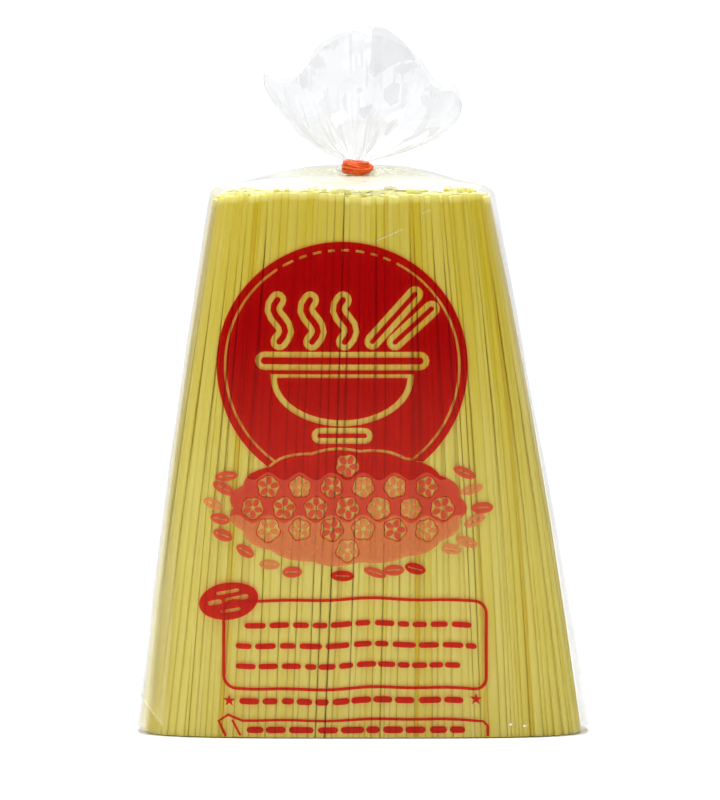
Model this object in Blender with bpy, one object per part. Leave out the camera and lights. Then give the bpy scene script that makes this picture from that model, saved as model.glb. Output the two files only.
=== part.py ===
"""Clear bag of straight dried yellow noodles, standing upright and tied with a rubber band.

Three solids: the bundle of noodle strands, the clear film where it stands free above them
(shoulder, gathered neck and open frill), and the rubber band wound round the neck.
Metres, +Z up, front towards -Y, origin at the bottom centre of the whole pack.
"""
import math
import random

import bmesh
import bpy
import numpy as np
from mathutils import Matrix, Vector

MM = 0.001

# The bundle: flat strands that fan out from a deep, narrow top to a wide, flat base.
STRAND_LENGTH = 218 * MM
STRAND_WIDTH = 4.3 * MM
STRAND_THICKNESS = 1.7 * MM
BASE_WIDTH = 176.5 * MM
BASE_DEPTH = 48 * MM
TOP_WIDTH = 113.5 * MM
TOP_DEPTH = 60 * MM
TOP_SHIFT = -4 * MM
ROUNDNESS = 3.2
OUTLINE_STEPS = 30

# The strands that show: the outer row all round, and the ends that stand up on top.
OUTER_STRANDS = 98
OUTER_SINK = 0.7 * MM
SLIP = 0.5 * MM
STRAND_TURN = 10.0
LENGTH_SPREAD = 5.5 * MM
CORE_SINK = 0.9 * MM
CORE_SIDES = 96
CORE_TOP = STRAND_LENGTH - LENGTH_SPREAD - 2 * MM
FOOT_TRIM = 3 * MM
END_ROWS = 8
END_COLUMNS = 11
END_INSET = 4 * MM
END_ROOT = 4 * MM
END_TURN = 25.0
END_REACH = 0.86
PLACE_SPREAD = 0.9 * MM

# The clear film above the strands.
GAP = 0.3 * MM
FILM_GAP = 1.6 * MM
SHOULDER_BOTTOM = STRAND_LENGTH + GAP
NECK_SHIFT = -2 * MM
NECK_RADIUS = 3.9 * MM
NECK_BOTTOM = 222.7 * MM
NECK_TOP = 231.3 * MM
NECK_PLEATS = 10
FLUTE_DEPTH = 0.06
FRILL_WALL = 1.3 * MM
FLARE_POWER = 1.9
RISE_POWER = 1.15
FRILL_LEVELS = 8
HOLLOW_START = 0.2

# Levels of the shoulder from its rim in to the neck: share of the way out to the rim,
# height above the flat underside and height of the pleats (millimetres).
SHOULDER_LEVELS = (
    (1.0, 0.7, 0.0), (0.95, 1.8, 0.1), (0.84, 2.9, 0.3), (0.68, 4.4, 0.4), (0.5, 5.8, 0.5),
    (0.32, 6.8, 0.6), (0.2, 6.7, 0.5), (0.12, 5.6, 0.3), (0.06, 4.6, 0.0),
)

# The mouth of the frill, right round from the right-hand side: how far right and back of
# the neck its edge lies there, and how high it stands above the neck (millimetres).
MOUTH = (
    (42, 1, 21), (39, 10, 28), (31, 11, 30), (23, 18, 40), (12, 19, 46),
    (5, 12, 47), (-4, 19, 49), (-15, 18, 44), (-21, 10, 34), (-29, 6, 31),
    (-37, 0, 33), (-28, -7, 30), (-22, -12, 35), (-15, -18, 44), (-5, -20, 50),
    (7, -19, 51.7), (17, -18, 46), (24, -12, 38), (30, -10, 29), (38, -9, 27),
)
FOLD_STEPS = 4
AROUND = FOLD_STEPS * len(MOUTH)

# The rubber band: tilted turns that cross on the neck. Lift (millimetres), tilt and
# heading of the tilt (degrees) of each turn.
BAND_THICKNESS = 2.0 * MM
BAND_RADIUS = 5.55 * MM
BAND_HEIGHT = 227.2 * MM
BAND_TURNS = ((-1.7, 9, 260), (-0.6, -11, 50), (0.6, 10, 290), (1.7, -9, 100))
BAND_SEGMENTS = 28
BAND_SIDES = 7

SHARP_ANGLE = 35.0

# Colour, roughness and opacity of each sub-part.
FINISHES = {
    "noodles": ((0.62, 0.50, 0.10, 1.0), 0.55, 1.0),
    "bag": ((0.93, 0.94, 0.95, 1.0), 0.12, 0.35),
    "rubber_band": ((0.78, 0.09, 0.02, 1.0), 0.45, 1.0),
}


def clear_scene():
    """Remove the objects that a new file starts with."""
    for old in list(bpy.data.objects):
        bpy.data.objects.remove(old, do_unlink=True)


def finish(name):
    """The Principled material of one sub-part."""
    colour, roughness, alpha = FINISHES[name]
    material = bpy.data.materials.new(name)
    material.use_nodes = True
    shader = material.node_tree.nodes["Principled BSDF"]
    shader.inputs["Base Color"].default_value = colour
    shader.inputs["Roughness"].default_value = roughness
    shader.inputs["Metallic"].default_value = 0.0
    shader.inputs["Alpha"].default_value = alpha
    return material


def make_object(name, shape, collection=None):
    """Turn a bmesh into a linked object."""
    mesh = bpy.data.meshes.new(name)
    shape.to_mesh(mesh)
    shape.free()
    made = bpy.data.objects.new(name, mesh)
    (collection or bpy.context.scene.collection).objects.link(made)
    return made


def outline(width, depth, count, shift=0.0):
    """Evenly spaced points round a rounded oblong, each with the direction along the edge."""
    fine = OUTLINE_STEPS * count
    angles = np.linspace(0.0, 2.0 * math.pi, fine, endpoint=False)
    power = 2.0 / ROUNDNESS
    x = 0.5 * width * np.sign(np.cos(angles)) * np.abs(np.cos(angles)) ** power
    y = 0.5 * depth * np.sign(np.sin(angles)) * np.abs(np.sin(angles)) ** power
    steps = np.hypot(np.roll(x, -1) - x, np.roll(y, -1) - y)
    run = np.concatenate(([0.0], np.cumsum(steps)))
    places = np.linspace(0.0, run[-1], count, endpoint=False)
    picked = np.interp(places, run, np.arange(fine + 1)).astype(int) % fine
    points = []
    for index in picked:
        before = (index - OUTLINE_STEPS) % fine
        after = (index + OUTLINE_STEPS) % fine
        along = Vector((x[after] - x[before], y[after] - y[before], 0.0)).normalized()
        points.append((Vector((x[index] + shift, y[index], 0.0)), along))
    return points


def loft(rings):
    """A closed solid through rings of equally many points, flat at both ends."""
    shape = bmesh.new()
    first = bmesh.ops.create_circle(shape, cap_ends=True, segments=len(rings[0]), radius=1.0)
    for corner, place in zip(first["verts"], rings[0]):
        corner.co = place
    loop = list(first["verts"])
    for ring in rings[1:]:
        edges = [shape.edges.get((loop[i - 1], loop[i])) for i in range(len(loop))]
        grown = bmesh.ops.extrude_edge_only(shape, edges=edges)["geom"]
        fresh = {item for item in grown if isinstance(item, bmesh.types.BMVert)}
        loop = [next(e.other_vert(v) for e in v.link_edges if e.other_vert(v) in fresh) for v in loop]
        for corner, place in zip(loop, ring):
            corner.co = place
    shape.faces.new(loop)
    bmesh.ops.recalc_face_normals(shape, faces=shape.faces)
    return shape


def strand(name, foot, head, along, collection):
    """One flat strand with level ends, sheared along its lean."""
    across = Vector((along.y, -along.x, 0.0))
    frame = Matrix.Identity(4)
    for column, axis in enumerate((along * STRAND_WIDTH, across * STRAND_THICKNESS, head - foot)):
        for row in range(3):
            frame[row][column] = axis[row]
    middle = (foot + head) / 2
    for row in range(3):
        frame[row][3] = middle[row]
    shape = bmesh.new()
    bmesh.ops.create_cube(shape, size=1.0, matrix=frame)
    bmesh.ops.recalc_face_normals(shape, faces=shape.faces)
    return make_object(name, shape, collection)


def core():
    """The packed middle of the bundle, up to just under the lowest strand ends."""
    rings = []
    for level in (-FOOT_TRIM, CORE_TOP):
        share = level / STRAND_LENGTH
        width = BASE_WIDTH + (TOP_WIDTH - BASE_WIDTH) * share - 2 * CORE_SINK
        depth = BASE_DEPTH + (TOP_DEPTH - BASE_DEPTH) * share - 2 * CORE_SINK
        places = outline(width, depth, CORE_SIDES, TOP_SHIFT * share)
        rings.append([place + Vector((0.0, 0.0, level)) for place, along in places])
    return make_object("noodles", loft(rings))


def outer_strands(collection, draw):
    """The row of strands that shows all round, each at its own depth and height."""
    feet = outline(BASE_WIDTH, BASE_DEPTH, OUTER_STRANDS)
    heads = outline(TOP_WIDTH, TOP_DEPTH, OUTER_STRANDS, TOP_SHIFT)
    for index in range(OUTER_STRANDS):
        foot, foot_along = feet[index]
        head, head_along = heads[index]
        along = (foot_along + head_along).normalized()
        turn = Matrix.Rotation(math.radians(draw.uniform(-STRAND_TURN, STRAND_TURN)), 3, "Z")
        along = turn @ along
        inward = Vector((-along.y, along.x, 0.0))
        depth = STRAND_THICKNESS / 2 + draw.uniform(0.0, OUTER_SINK)
        height = STRAND_LENGTH - draw.uniform(0.0, LENGTH_SPREAD)
        low = foot + inward * depth + along * draw.uniform(-SLIP, SLIP)
        high = head + inward * (depth + draw.uniform(-SLIP, SLIP) / 2)
        lean = (high - low) / STRAND_LENGTH
        start = low - lean * FOOT_TRIM - Vector((0.0, 0.0, FOOT_TRIM))
        end = low + lean * height + Vector((0.0, 0.0, height))
        strand(f"strand_{index}", start, end, along, collection)


def standing_ends(collection, draw):
    """Strand ends that stand up at different heights on top of the core."""
    count = 0
    for row in range(END_ROWS):
        for column in range(END_COLUMNS):
            across = (row + 0.5) / END_ROWS * 2 - 1
            stagger = 0.4 * (row % 2 - 0.5)
            along_top = (column + 0.5 + stagger) / END_COLUMNS * 2 - 1
            if abs(across) ** ROUNDNESS + abs(along_top) ** ROUNDNESS > END_REACH:
                continue
            x = along_top * (TOP_WIDTH / 2 - END_INSET) + TOP_SHIFT
            y = across * (TOP_DEPTH / 2 - END_INSET)
            x += draw.uniform(-PLACE_SPREAD, PLACE_SPREAD)
            y += draw.uniform(-PLACE_SPREAD, PLACE_SPREAD)
            height = STRAND_LENGTH - draw.uniform(0.0, LENGTH_SPREAD)
            turn = math.radians(draw.uniform(-END_TURN, END_TURN))
            along = Vector((math.cos(turn), math.sin(turn), 0.0))
            start = Vector((x, y, CORE_TOP - END_ROOT))
            strand(f"end_{count}", start, Vector((x, y, height)), along, collection)
            count += 1


def fuse(body, collection):
    """Join everything in a collection to a body as one solid, and drop the pieces."""
    joint = body.modifiers.new("Fuse", "BOOLEAN")
    joint.operation = "UNION"
    joint.operand_type = "COLLECTION"
    joint.collection = collection
    joint.solver = "EXACT"
    seen = body.evaluated_get(bpy.context.evaluated_depsgraph_get())
    joined = bpy.data.meshes.new_from_object(seen)
    body.modifiers.clear()
    body.data = joined
    for piece in list(collection.objects):
        bpy.data.objects.remove(piece, do_unlink=True)
    bpy.data.collections.remove(collection)


def keep_largest(shape):
    """Keep the outer skin alone: sealed hollows are filled so, and loose scraps dropped."""
    islands = []
    seen = set()
    for start in shape.verts:
        if start in seen:
            continue
        island = {start}
        front = [start]
        while front:
            corner = front.pop()
            for edge in corner.link_edges:
                other = edge.other_vert(corner)
                if other not in island:
                    island.add(other)
                    front.append(other)
        seen |= island
        islands.append(island)
    islands.sort(key=len)
    for island in islands[:-1]:
        bmesh.ops.delete(shape, geom=list(island), context="VERTS")


def trim_foot(body):
    """Cut the bundle level at the height it stands on and close the cut."""
    shape = bmesh.new()
    shape.from_mesh(body.data)
    everything = list(shape.verts) + list(shape.edges) + list(shape.faces)
    ground = Vector((0.0, 0.0, 0.0))
    bmesh.ops.bisect_plane(shape, geom=everything, dist=1e-7, plane_co=ground,
                           plane_no=(0.0, 0.0, 1.0), clear_inner=True)
    keep_largest(shape)
    edges = [edge for edge in shape.edges if edge.is_boundary]
    bmesh.ops.contextual_create(shape, geom=edges)
    bmesh.ops.dissolve_degenerate(shape, dist=1e-6, edges=shape.edges)
    bmesh.ops.recalc_face_normals(shape, faces=shape.faces)
    bmesh.ops.triangulate(shape, faces=shape.faces)
    shape.to_mesh(body.data)
    shape.free()


def build_noodles():
    """The bundle: a core with the strands that show fused on."""
    draw = random.Random(7)
    body = core()
    pieces = bpy.data.collections.new("strands")
    bpy.context.scene.collection.children.link(pieces)
    outer_strands(pieces, draw)
    standing_ends(pieces, draw)
    fuse(body, pieces)
    trim_foot(body)
    return body


def round_neck(step):
    """Direction of one of the points round the neck."""
    return 2 * math.pi * step / AROUND


def neck_ring(height):
    """The gathered neck, finely fluted."""
    ring = []
    for step in range(AROUND):
        angle = round_neck(step)
        radius = NECK_RADIUS * (1.0 + FLUTE_DEPTH * math.cos(NECK_PLEATS * angle))
        ring.append(Vector((radius * math.cos(angle) + NECK_SHIFT, radius * math.sin(angle), height)))
    return ring


def mouth_ring():
    """Points on a smooth curve through the frill's mouth, in metres from the neck's top."""
    count = len(MOUTH)
    ring = []
    for fold in range(count):
        a, b, c, d = (Vector(MOUTH[(fold + step) % count]) for step in (-1, 0, 1, 2))
        for part in range(FOLD_STEPS):
            share = part / FOLD_STEPS
            place = 0.5 * (2 * b + (c - a) * share + (2 * a - 5 * b + 4 * c - d) * share ** 2
                           + (3 * b - a - 3 * c + d) * share ** 3)
            ring.append(place * MM)
    return ring


def frill_ring(share, wall):
    """One level of the frill, from the neck (0) to the mouth's edge (1)."""
    flare = 1.0 - (1.0 - share) ** FLARE_POWER
    ring = []
    for start, reach in zip(neck_ring(NECK_TOP), mouth_ring()):
        middle = Vector((NECK_SHIFT, 0.0, NECK_TOP))
        out = start - middle
        end = Vector((reach.x, reach.y, 0.0))
        place = out.lerp(end, flare)
        place -= place.normalized() * wall
        place.z = reach.z * share ** RISE_POWER
        ring.append(middle + place)
    return ring


def shoulder_ring(share, height, ripple):
    """One level of the shoulder, from the bundle's outline (1) in to the neck (0)."""
    half_width = TOP_WIDTH / 2 + FILM_GAP
    half_depth = TOP_DEPTH / 2 + FILM_GAP
    ring = []
    for step, start in enumerate(neck_ring(height)):
        angle = round_neck(step)
        x, y = math.cos(angle), math.sin(angle)
        edge = (abs(x / half_width) ** ROUNDNESS + abs(y / half_depth) ** ROUNDNESS) ** (-1 / ROUNDNESS)
        rim = Vector((edge * x + TOP_SHIFT, edge * y, height))
        place = start.lerp(rim, share)
        place.z += ripple * math.cos(NECK_PLEATS * angle)
        ring.append(place)
    return ring


def build_bag():
    """The film above the strands: flat underneath, puffed shoulder, neck, and hollow frill."""
    rings = [shoulder_ring(0.5, SHOULDER_BOTTOM, 0.0), shoulder_ring(1.0, SHOULDER_BOTTOM, 0.0)]
    for share, height, ripple in SHOULDER_LEVELS:
        rings.append(shoulder_ring(share, SHOULDER_BOTTOM + height * MM, ripple * MM))
    rings.append(neck_ring(NECK_BOTTOM))
    rings.append(neck_ring(NECK_TOP))
    for level in range(1, FRILL_LEVELS + 1):
        rings.append(frill_ring(level / FRILL_LEVELS, 0.0))
    for level in range(FRILL_LEVELS, -1, -1):
        share = HOLLOW_START + (1.0 - HOLLOW_START) * level / FRILL_LEVELS
        rings.append(frill_ring(share, FRILL_WALL))
    return make_object("bag", loft(rings))


def band_turn(name, lift, tilt, heading, collection):
    """One turn of the band, a tilted ring."""
    shape = bmesh.new()
    section = bmesh.ops.create_circle(shape, segments=BAND_SIDES, radius=BAND_THICKNESS / 2)
    upright = Matrix.Translation((BAND_RADIUS, 0.0, 0.0)) @ Matrix.Rotation(math.pi / 2, 4, "X")
    bmesh.ops.transform(shape, matrix=upright, verts=section["verts"])
    bmesh.ops.spin(shape, geom=shape.verts[:] + shape.edges[:], cent=(0, 0, 0), axis=(0, 0, 1),
                   angle=2 * math.pi, steps=BAND_SEGMENTS, use_merge=True)
    middle = BAND_HEIGHT + lift * MM
    place = (Matrix.Translation((NECK_SHIFT, 0.0, middle))
             @ Matrix.Rotation(math.radians(heading), 4, "Z")
             @ Matrix.Rotation(math.radians(tilt), 4, "X"))
    bmesh.ops.transform(shape, matrix=place, verts=shape.verts)
    bmesh.ops.recalc_face_normals(shape, faces=shape.faces)
    return make_object(name, shape, collection)


def build_rubber_band():
    """The band wound round the neck, its crossing turns fused."""
    body = band_turn("rubber_band", *BAND_TURNS[0], None)
    turns = bpy.data.collections.new("turns")
    bpy.context.scene.collection.children.link(turns)
    for index, turn in enumerate(BAND_TURNS[1:]):
        band_turn(f"turn_{index}", *turn, turns)
    fuse(body, turns)
    return body


def dress(body):
    """Give a finished body its material and smooth shading with sharp edges kept."""
    body.data.materials.clear()
    body.data.materials.append(finish(body.name))
    body.data.shade_smooth()
    body.data.set_sharp_from_angle(angle=math.radians(SHARP_ANGLE))


def main():
    """Build the three sub-parts in order."""
    clear_scene()
    for build in (build_noodles, build_bag, build_rubber_band):
        dress(build())


main()
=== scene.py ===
"""Looks for a clear bag of straight dried yellow noodles, tied with a rubber band.

Every noodle that shows is modelled as a flat strand over a core, the bag is one thin film from
its base to the mouth of its frill, in two meshes, the print is ink laid on that film, and the
rubber band is one cord wound round the neck. All places are in the frame of the model.
"""
from __future__ import annotations

import logging
import math
import random
from dataclasses import dataclass, field
from enum import Enum
from functools import partial
from typing import Callable, Iterable, Sequence

import bmesh
import bpy
from mathutils import Matrix, Vector, noise
from mathutils.bvhtree import BVHTree


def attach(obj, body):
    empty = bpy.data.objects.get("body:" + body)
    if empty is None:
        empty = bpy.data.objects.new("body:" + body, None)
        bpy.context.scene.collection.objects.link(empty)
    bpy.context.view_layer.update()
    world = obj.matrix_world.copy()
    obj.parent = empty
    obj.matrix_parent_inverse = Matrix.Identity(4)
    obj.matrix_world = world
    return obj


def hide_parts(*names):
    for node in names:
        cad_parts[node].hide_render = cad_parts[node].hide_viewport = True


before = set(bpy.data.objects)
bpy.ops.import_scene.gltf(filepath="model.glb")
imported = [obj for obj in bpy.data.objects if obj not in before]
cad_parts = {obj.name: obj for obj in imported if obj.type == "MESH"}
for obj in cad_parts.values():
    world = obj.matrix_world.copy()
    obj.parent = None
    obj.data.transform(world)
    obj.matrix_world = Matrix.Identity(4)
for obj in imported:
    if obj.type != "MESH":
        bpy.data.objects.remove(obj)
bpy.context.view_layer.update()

LOG = logging.getLogger("noodle_bag")
MM = 0.001
TURN = 2.0 * math.pi


# ---------------------------------------------------------------- shader expressions


class Value:
    """A socket of a node tree, used in Python expressions that add Math nodes."""

    def __init__(self, graph: Graph, socket: bpy.types.NodeSocket) -> None:
        """Keep the tree and the socket."""
        self.graph = graph
        self.socket = socket

    def _math(self, operation: str, *terms: Value | float) -> Value:
        """Add one Math node over the given terms."""
        return self.graph.node("ShaderNodeMath", {"operation": operation}, dict(enumerate(terms)))

    def __add__(self, other: Value | float) -> Value:
        """Sum."""
        return self._math("ADD", self, other)

    __radd__ = __add__

    def __sub__(self, other: Value | float) -> Value:
        """Difference."""
        return self._math("SUBTRACT", self, other)

    def __rsub__(self, other: Value | float) -> Value:
        """Difference from a number."""
        return self._math("SUBTRACT", other, self)

    def __mul__(self, other: Value | float) -> Value:
        """Product."""
        return self._math("MULTIPLY", self, other)

    __rmul__ = __mul__

    def __pow__(self, other: float) -> Value:
        """Power."""
        return self._math("POWER", self, other)

    def clamp(self) -> Value:
        """Keep the value between 0 and 1."""
        return self._math("MINIMUM", self._math("MAXIMUM", self, 0.0), 1.0)

    def between(self, low: float, high: float) -> Value:
        """A smooth step from 0 at low to 1 at high."""
        settings = {"interpolation_type": "SMOOTHSTEP"}
        return self.graph.node("ShaderNodeMapRange", settings, {0: self, 1: low, 2: high})

    def either(self, other: Value | float) -> Value:
        """The greater of two values."""
        return self._math("MAXIMUM", self, other)


class Graph:
    """The node tree of one material or world."""

    def __init__(self, tree: bpy.types.NodeTree) -> None:
        """Start from an empty tree."""
        self.tree = tree
        tree.nodes.clear()

    def node(self, kind: str, settings: dict | None = None, inputs: dict | None = None,
             output: int | str = 0) -> Value:
        """Add any node.

        Args:
            kind: the node's type.
            settings: its own properties, set first.
            inputs: a value or a link for each of its sockets, by name or place.
            output: the socket that is wanted back.

        Returns:
            The wanted output as a value.
        """
        made = self.tree.nodes.new(kind)
        for name, setting in (settings or {}).items():
            setattr(made, name, setting)
        for key, value in (inputs or {}).items():
            if isinstance(value, Value):
                self.tree.links.new(value.socket, made.inputs[key])
            else:
                made.inputs[key].default_value = value
        return Value(self, made.outputs[output]) if made.outputs else Value(self, None)

    def mix(self, share: Value | float, low: Value | tuple, high: Value | tuple) -> Value:
        """Blend two colours."""
        settings = {"data_type": "RGBA"}
        return self.node("ShaderNodeMix", settings, {0: share, 6: low, 7: high}, 2)

    def attribute(self, name: str) -> Value:
        """Read a number that the mesh keeps at each corner."""
        return self.node("ShaderNodeAttribute", {"attribute_name": name}, None, "Fac")

    def place(self) -> Value:
        """Where a point lies on the piece, in metres."""
        return self.node("ShaderNodeTexCoord", None, None, "Object")

    def axes(self, vector: Value) -> tuple[Value, Value, Value]:
        """The three parts of a vector."""
        split = self.node("ShaderNodeSeparateXYZ", None, {0: vector})
        outputs = split.socket.node.outputs
        return tuple(Value(self, socket) for socket in outputs)

    def scaled(self, vector: Value, scale: tuple[float, float, float]) -> Value:
        """Stretch a vector along each axis."""
        settings = {"operation": "MULTIPLY"}
        return self.node("ShaderNodeVectorMath", settings, {0: vector, 1: scale})

    def noise(self, vector: Value, scale: float, detail: float = 2.0) -> Value:
        """A noise pattern from about 0 to 1."""
        inputs = {"Vector": vector, "Scale": scale, "Detail": detail}
        return self.node("ShaderNodeTexNoise", {"noise_dimensions": "3D"}, inputs)

    def bump(self, height: Value, distance: float, strength: float) -> Value:
        """A surface normal from a height pattern, with its depth in metres."""
        inputs = {"Height": height, "Distance": distance, "Strength": strength}
        return self.node("ShaderNodeBump", None, inputs)

    def surface(self, inputs: dict) -> Value:
        """A surface shader with the given inputs."""
        return self.node("ShaderNodeBsdfPrincipled", None, inputs)

    def blend(self, share: Value, low: Value, high: Value) -> Value:
        """Blend two shaders."""
        return self.node("ShaderNodeMixShader", None, {0: share, 1: low, 2: high})

    def clear(self, colour: tuple) -> Value:
        """A clear shader that tints what shows through it."""
        return self.node("ShaderNodeBsdfTransparent", None, {"Color": colour})

    def output(self, shader: Value) -> None:
        """Use a shader for the whole material."""
        self.node("ShaderNodeOutputMaterial", None, {0: shader})


def new_material(name: str) -> tuple[bpy.types.Material, Graph]:
    """Make an empty material.

    Args:
        name: the material's name.

    Returns:
        The material and its node tree.
    """
    material = bpy.data.materials.new(name)
    material.use_nodes = True
    return material, Graph(material.node_tree)


# ---------------------------------------------------------------- finishes


@dataclass(frozen=True)
class NoodleFinish:
    """Dried egg-yellow noodle: each strand has its own tone, fine streaks and soft darker edges. The edges
    are partly the noodle's own translucent edge and partly painted shade between strands, and the tips carry
    a painted highlight.
    """

    pale: tuple = (0.63, 0.54, 0.13, 1.0)
    deep: tuple = (0.535, 0.41, 0.016, 1.0)
    ochre: tuple = (0.50, 0.325, 0.006, 1.0)
    # Colours of the darker edges: partly the noodle's own edge, partly painted shade between strands.
    low_edge: tuple = (0.40, 0.32, 0.03, 1.0)
    high_edge: tuple = (0.34, 0.20, 0.002, 1.0)
    # Painted highlight colours for the tops: the outer row's, and the paler inner ends'.
    tip: tuple = (0.90, 0.85, 0.28, 1.0)
    inner_tip_highlight: tuple = (0.78, 0.76, 0.42, 1.0)
    tip_highlight_share: float = 0.72
    roughness: float = 0.5
    gloss: float = 0.15
    streak_scale: tuple = (1.5, 1.5, 0.035)
    cloud_scale: tuple = (0.25, 0.25, 0.03)
    speck_scale: tuple = (2.2, 2.2, 0.9)
    upper_heights: tuple = (80 * MM, 190 * MM)
    bump_depth: float = 0.06 * MM

    def material(self) -> bpy.types.Material:
        """Build the material, which reads each strand's own tone, grain, edges and tip."""
        made, graph = new_material("dried_noodle")
        grain = graph.node("ShaderNodeAttribute", {"attribute_name": "grain"}, None, "Vector")
        tone = graph.attribute("tone")
        side = graph.attribute("side")
        streak = graph.noise(graph.scaled(grain, self.streak_scale), 1.0, 4.0)
        cloud = graph.noise(graph.scaled(grain, self.cloud_scale), 1.0, 2.0)
        speck = graph.noise(graph.scaled(grain, self.speck_scale), 1.0, 1.0)
        _, _, height = graph.axes(graph.place())
        upper = height.between(*self.upper_heights)
        depth = (tone * 0.6 + (streak - 0.5) * 0.8 + (cloud - 0.5) * 0.5 + upper * 0.55).clamp()
        base = graph.mix(depth, self.pale, self.deep)
        # High tones, which deeper rows and edge-on strands get, turn ochre as painted shade and warm bounced
        # light; the specks are the noodle's own.
        warm = (tone.between(0.8, 1.0) * 0.6 + speck.between(0.7, 0.8) * 0.3).clamp()
        tinted = graph.mix(warm, base, self.ochre)
        # Darker edges: partly the noodle's own translucent edge, partly painted shade between strands,
        # heavier on the right side, away from the light.
        edge = graph.mix(upper, self.low_edge, self.high_edge)
        rim = side.between(0.62, 1.0) + (side * -1.0).between(0.82, 1.0) * 0.6
        edge_tone_and_shade = graph.mix((rim * graph.attribute("line")).clamp(), tinted, edge)
        # Painted highlight: the top of each strand turns pale, and the inner ends turn paler still, as the
        # strong light from above shows them.
        tip = graph.attribute("tip")
        end = graph.mix((tip - 1.0).clamp(), self.tip, self.inner_tip_highlight)
        colour = graph.mix((tip * self.tip_highlight_share).clamp(), edge_tone_and_shade, end)
        rough = (streak - 0.5) * 0.3 + self.roughness
        normal = graph.bump(streak, self.bump_depth, 0.5)
        graph.output(graph.surface({"Base Color": colour, "Roughness": rough, "Normal": normal,
                                    "Specular IOR Level": self.gloss}))
        return made


@dataclass(frozen=True)
class CoreFinish:
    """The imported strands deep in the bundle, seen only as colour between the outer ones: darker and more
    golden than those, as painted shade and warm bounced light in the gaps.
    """

    colour: tuple = (0.50, 0.36, 0.02, 1.0)
    shade: tuple = (0.42, 0.26, 0.01, 1.0)
    streak_scale: tuple = (900.0, 900.0, 8.0)
    roughness: float = 0.7

    def material(self) -> bpy.types.Material:
        """Build the material, streaked along the strands."""
        made, graph = new_material("noodle_core")
        streak = graph.noise(graph.scaled(graph.place(), self.streak_scale), 1.0, 2.0)
        colour = graph.mix(streak, self.colour, self.shade)
        graph.output(graph.surface({"Base Color": colour, "Roughness": self.roughness}))
        return made


@dataclass(frozen=True)
class PaintedFilmGlint:
    """A painted highlight on the front, along a crease or as a glint, from one place to another
    (millimetres).
    """

    start: tuple
    end: tuple
    width: float
    strength: float


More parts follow.
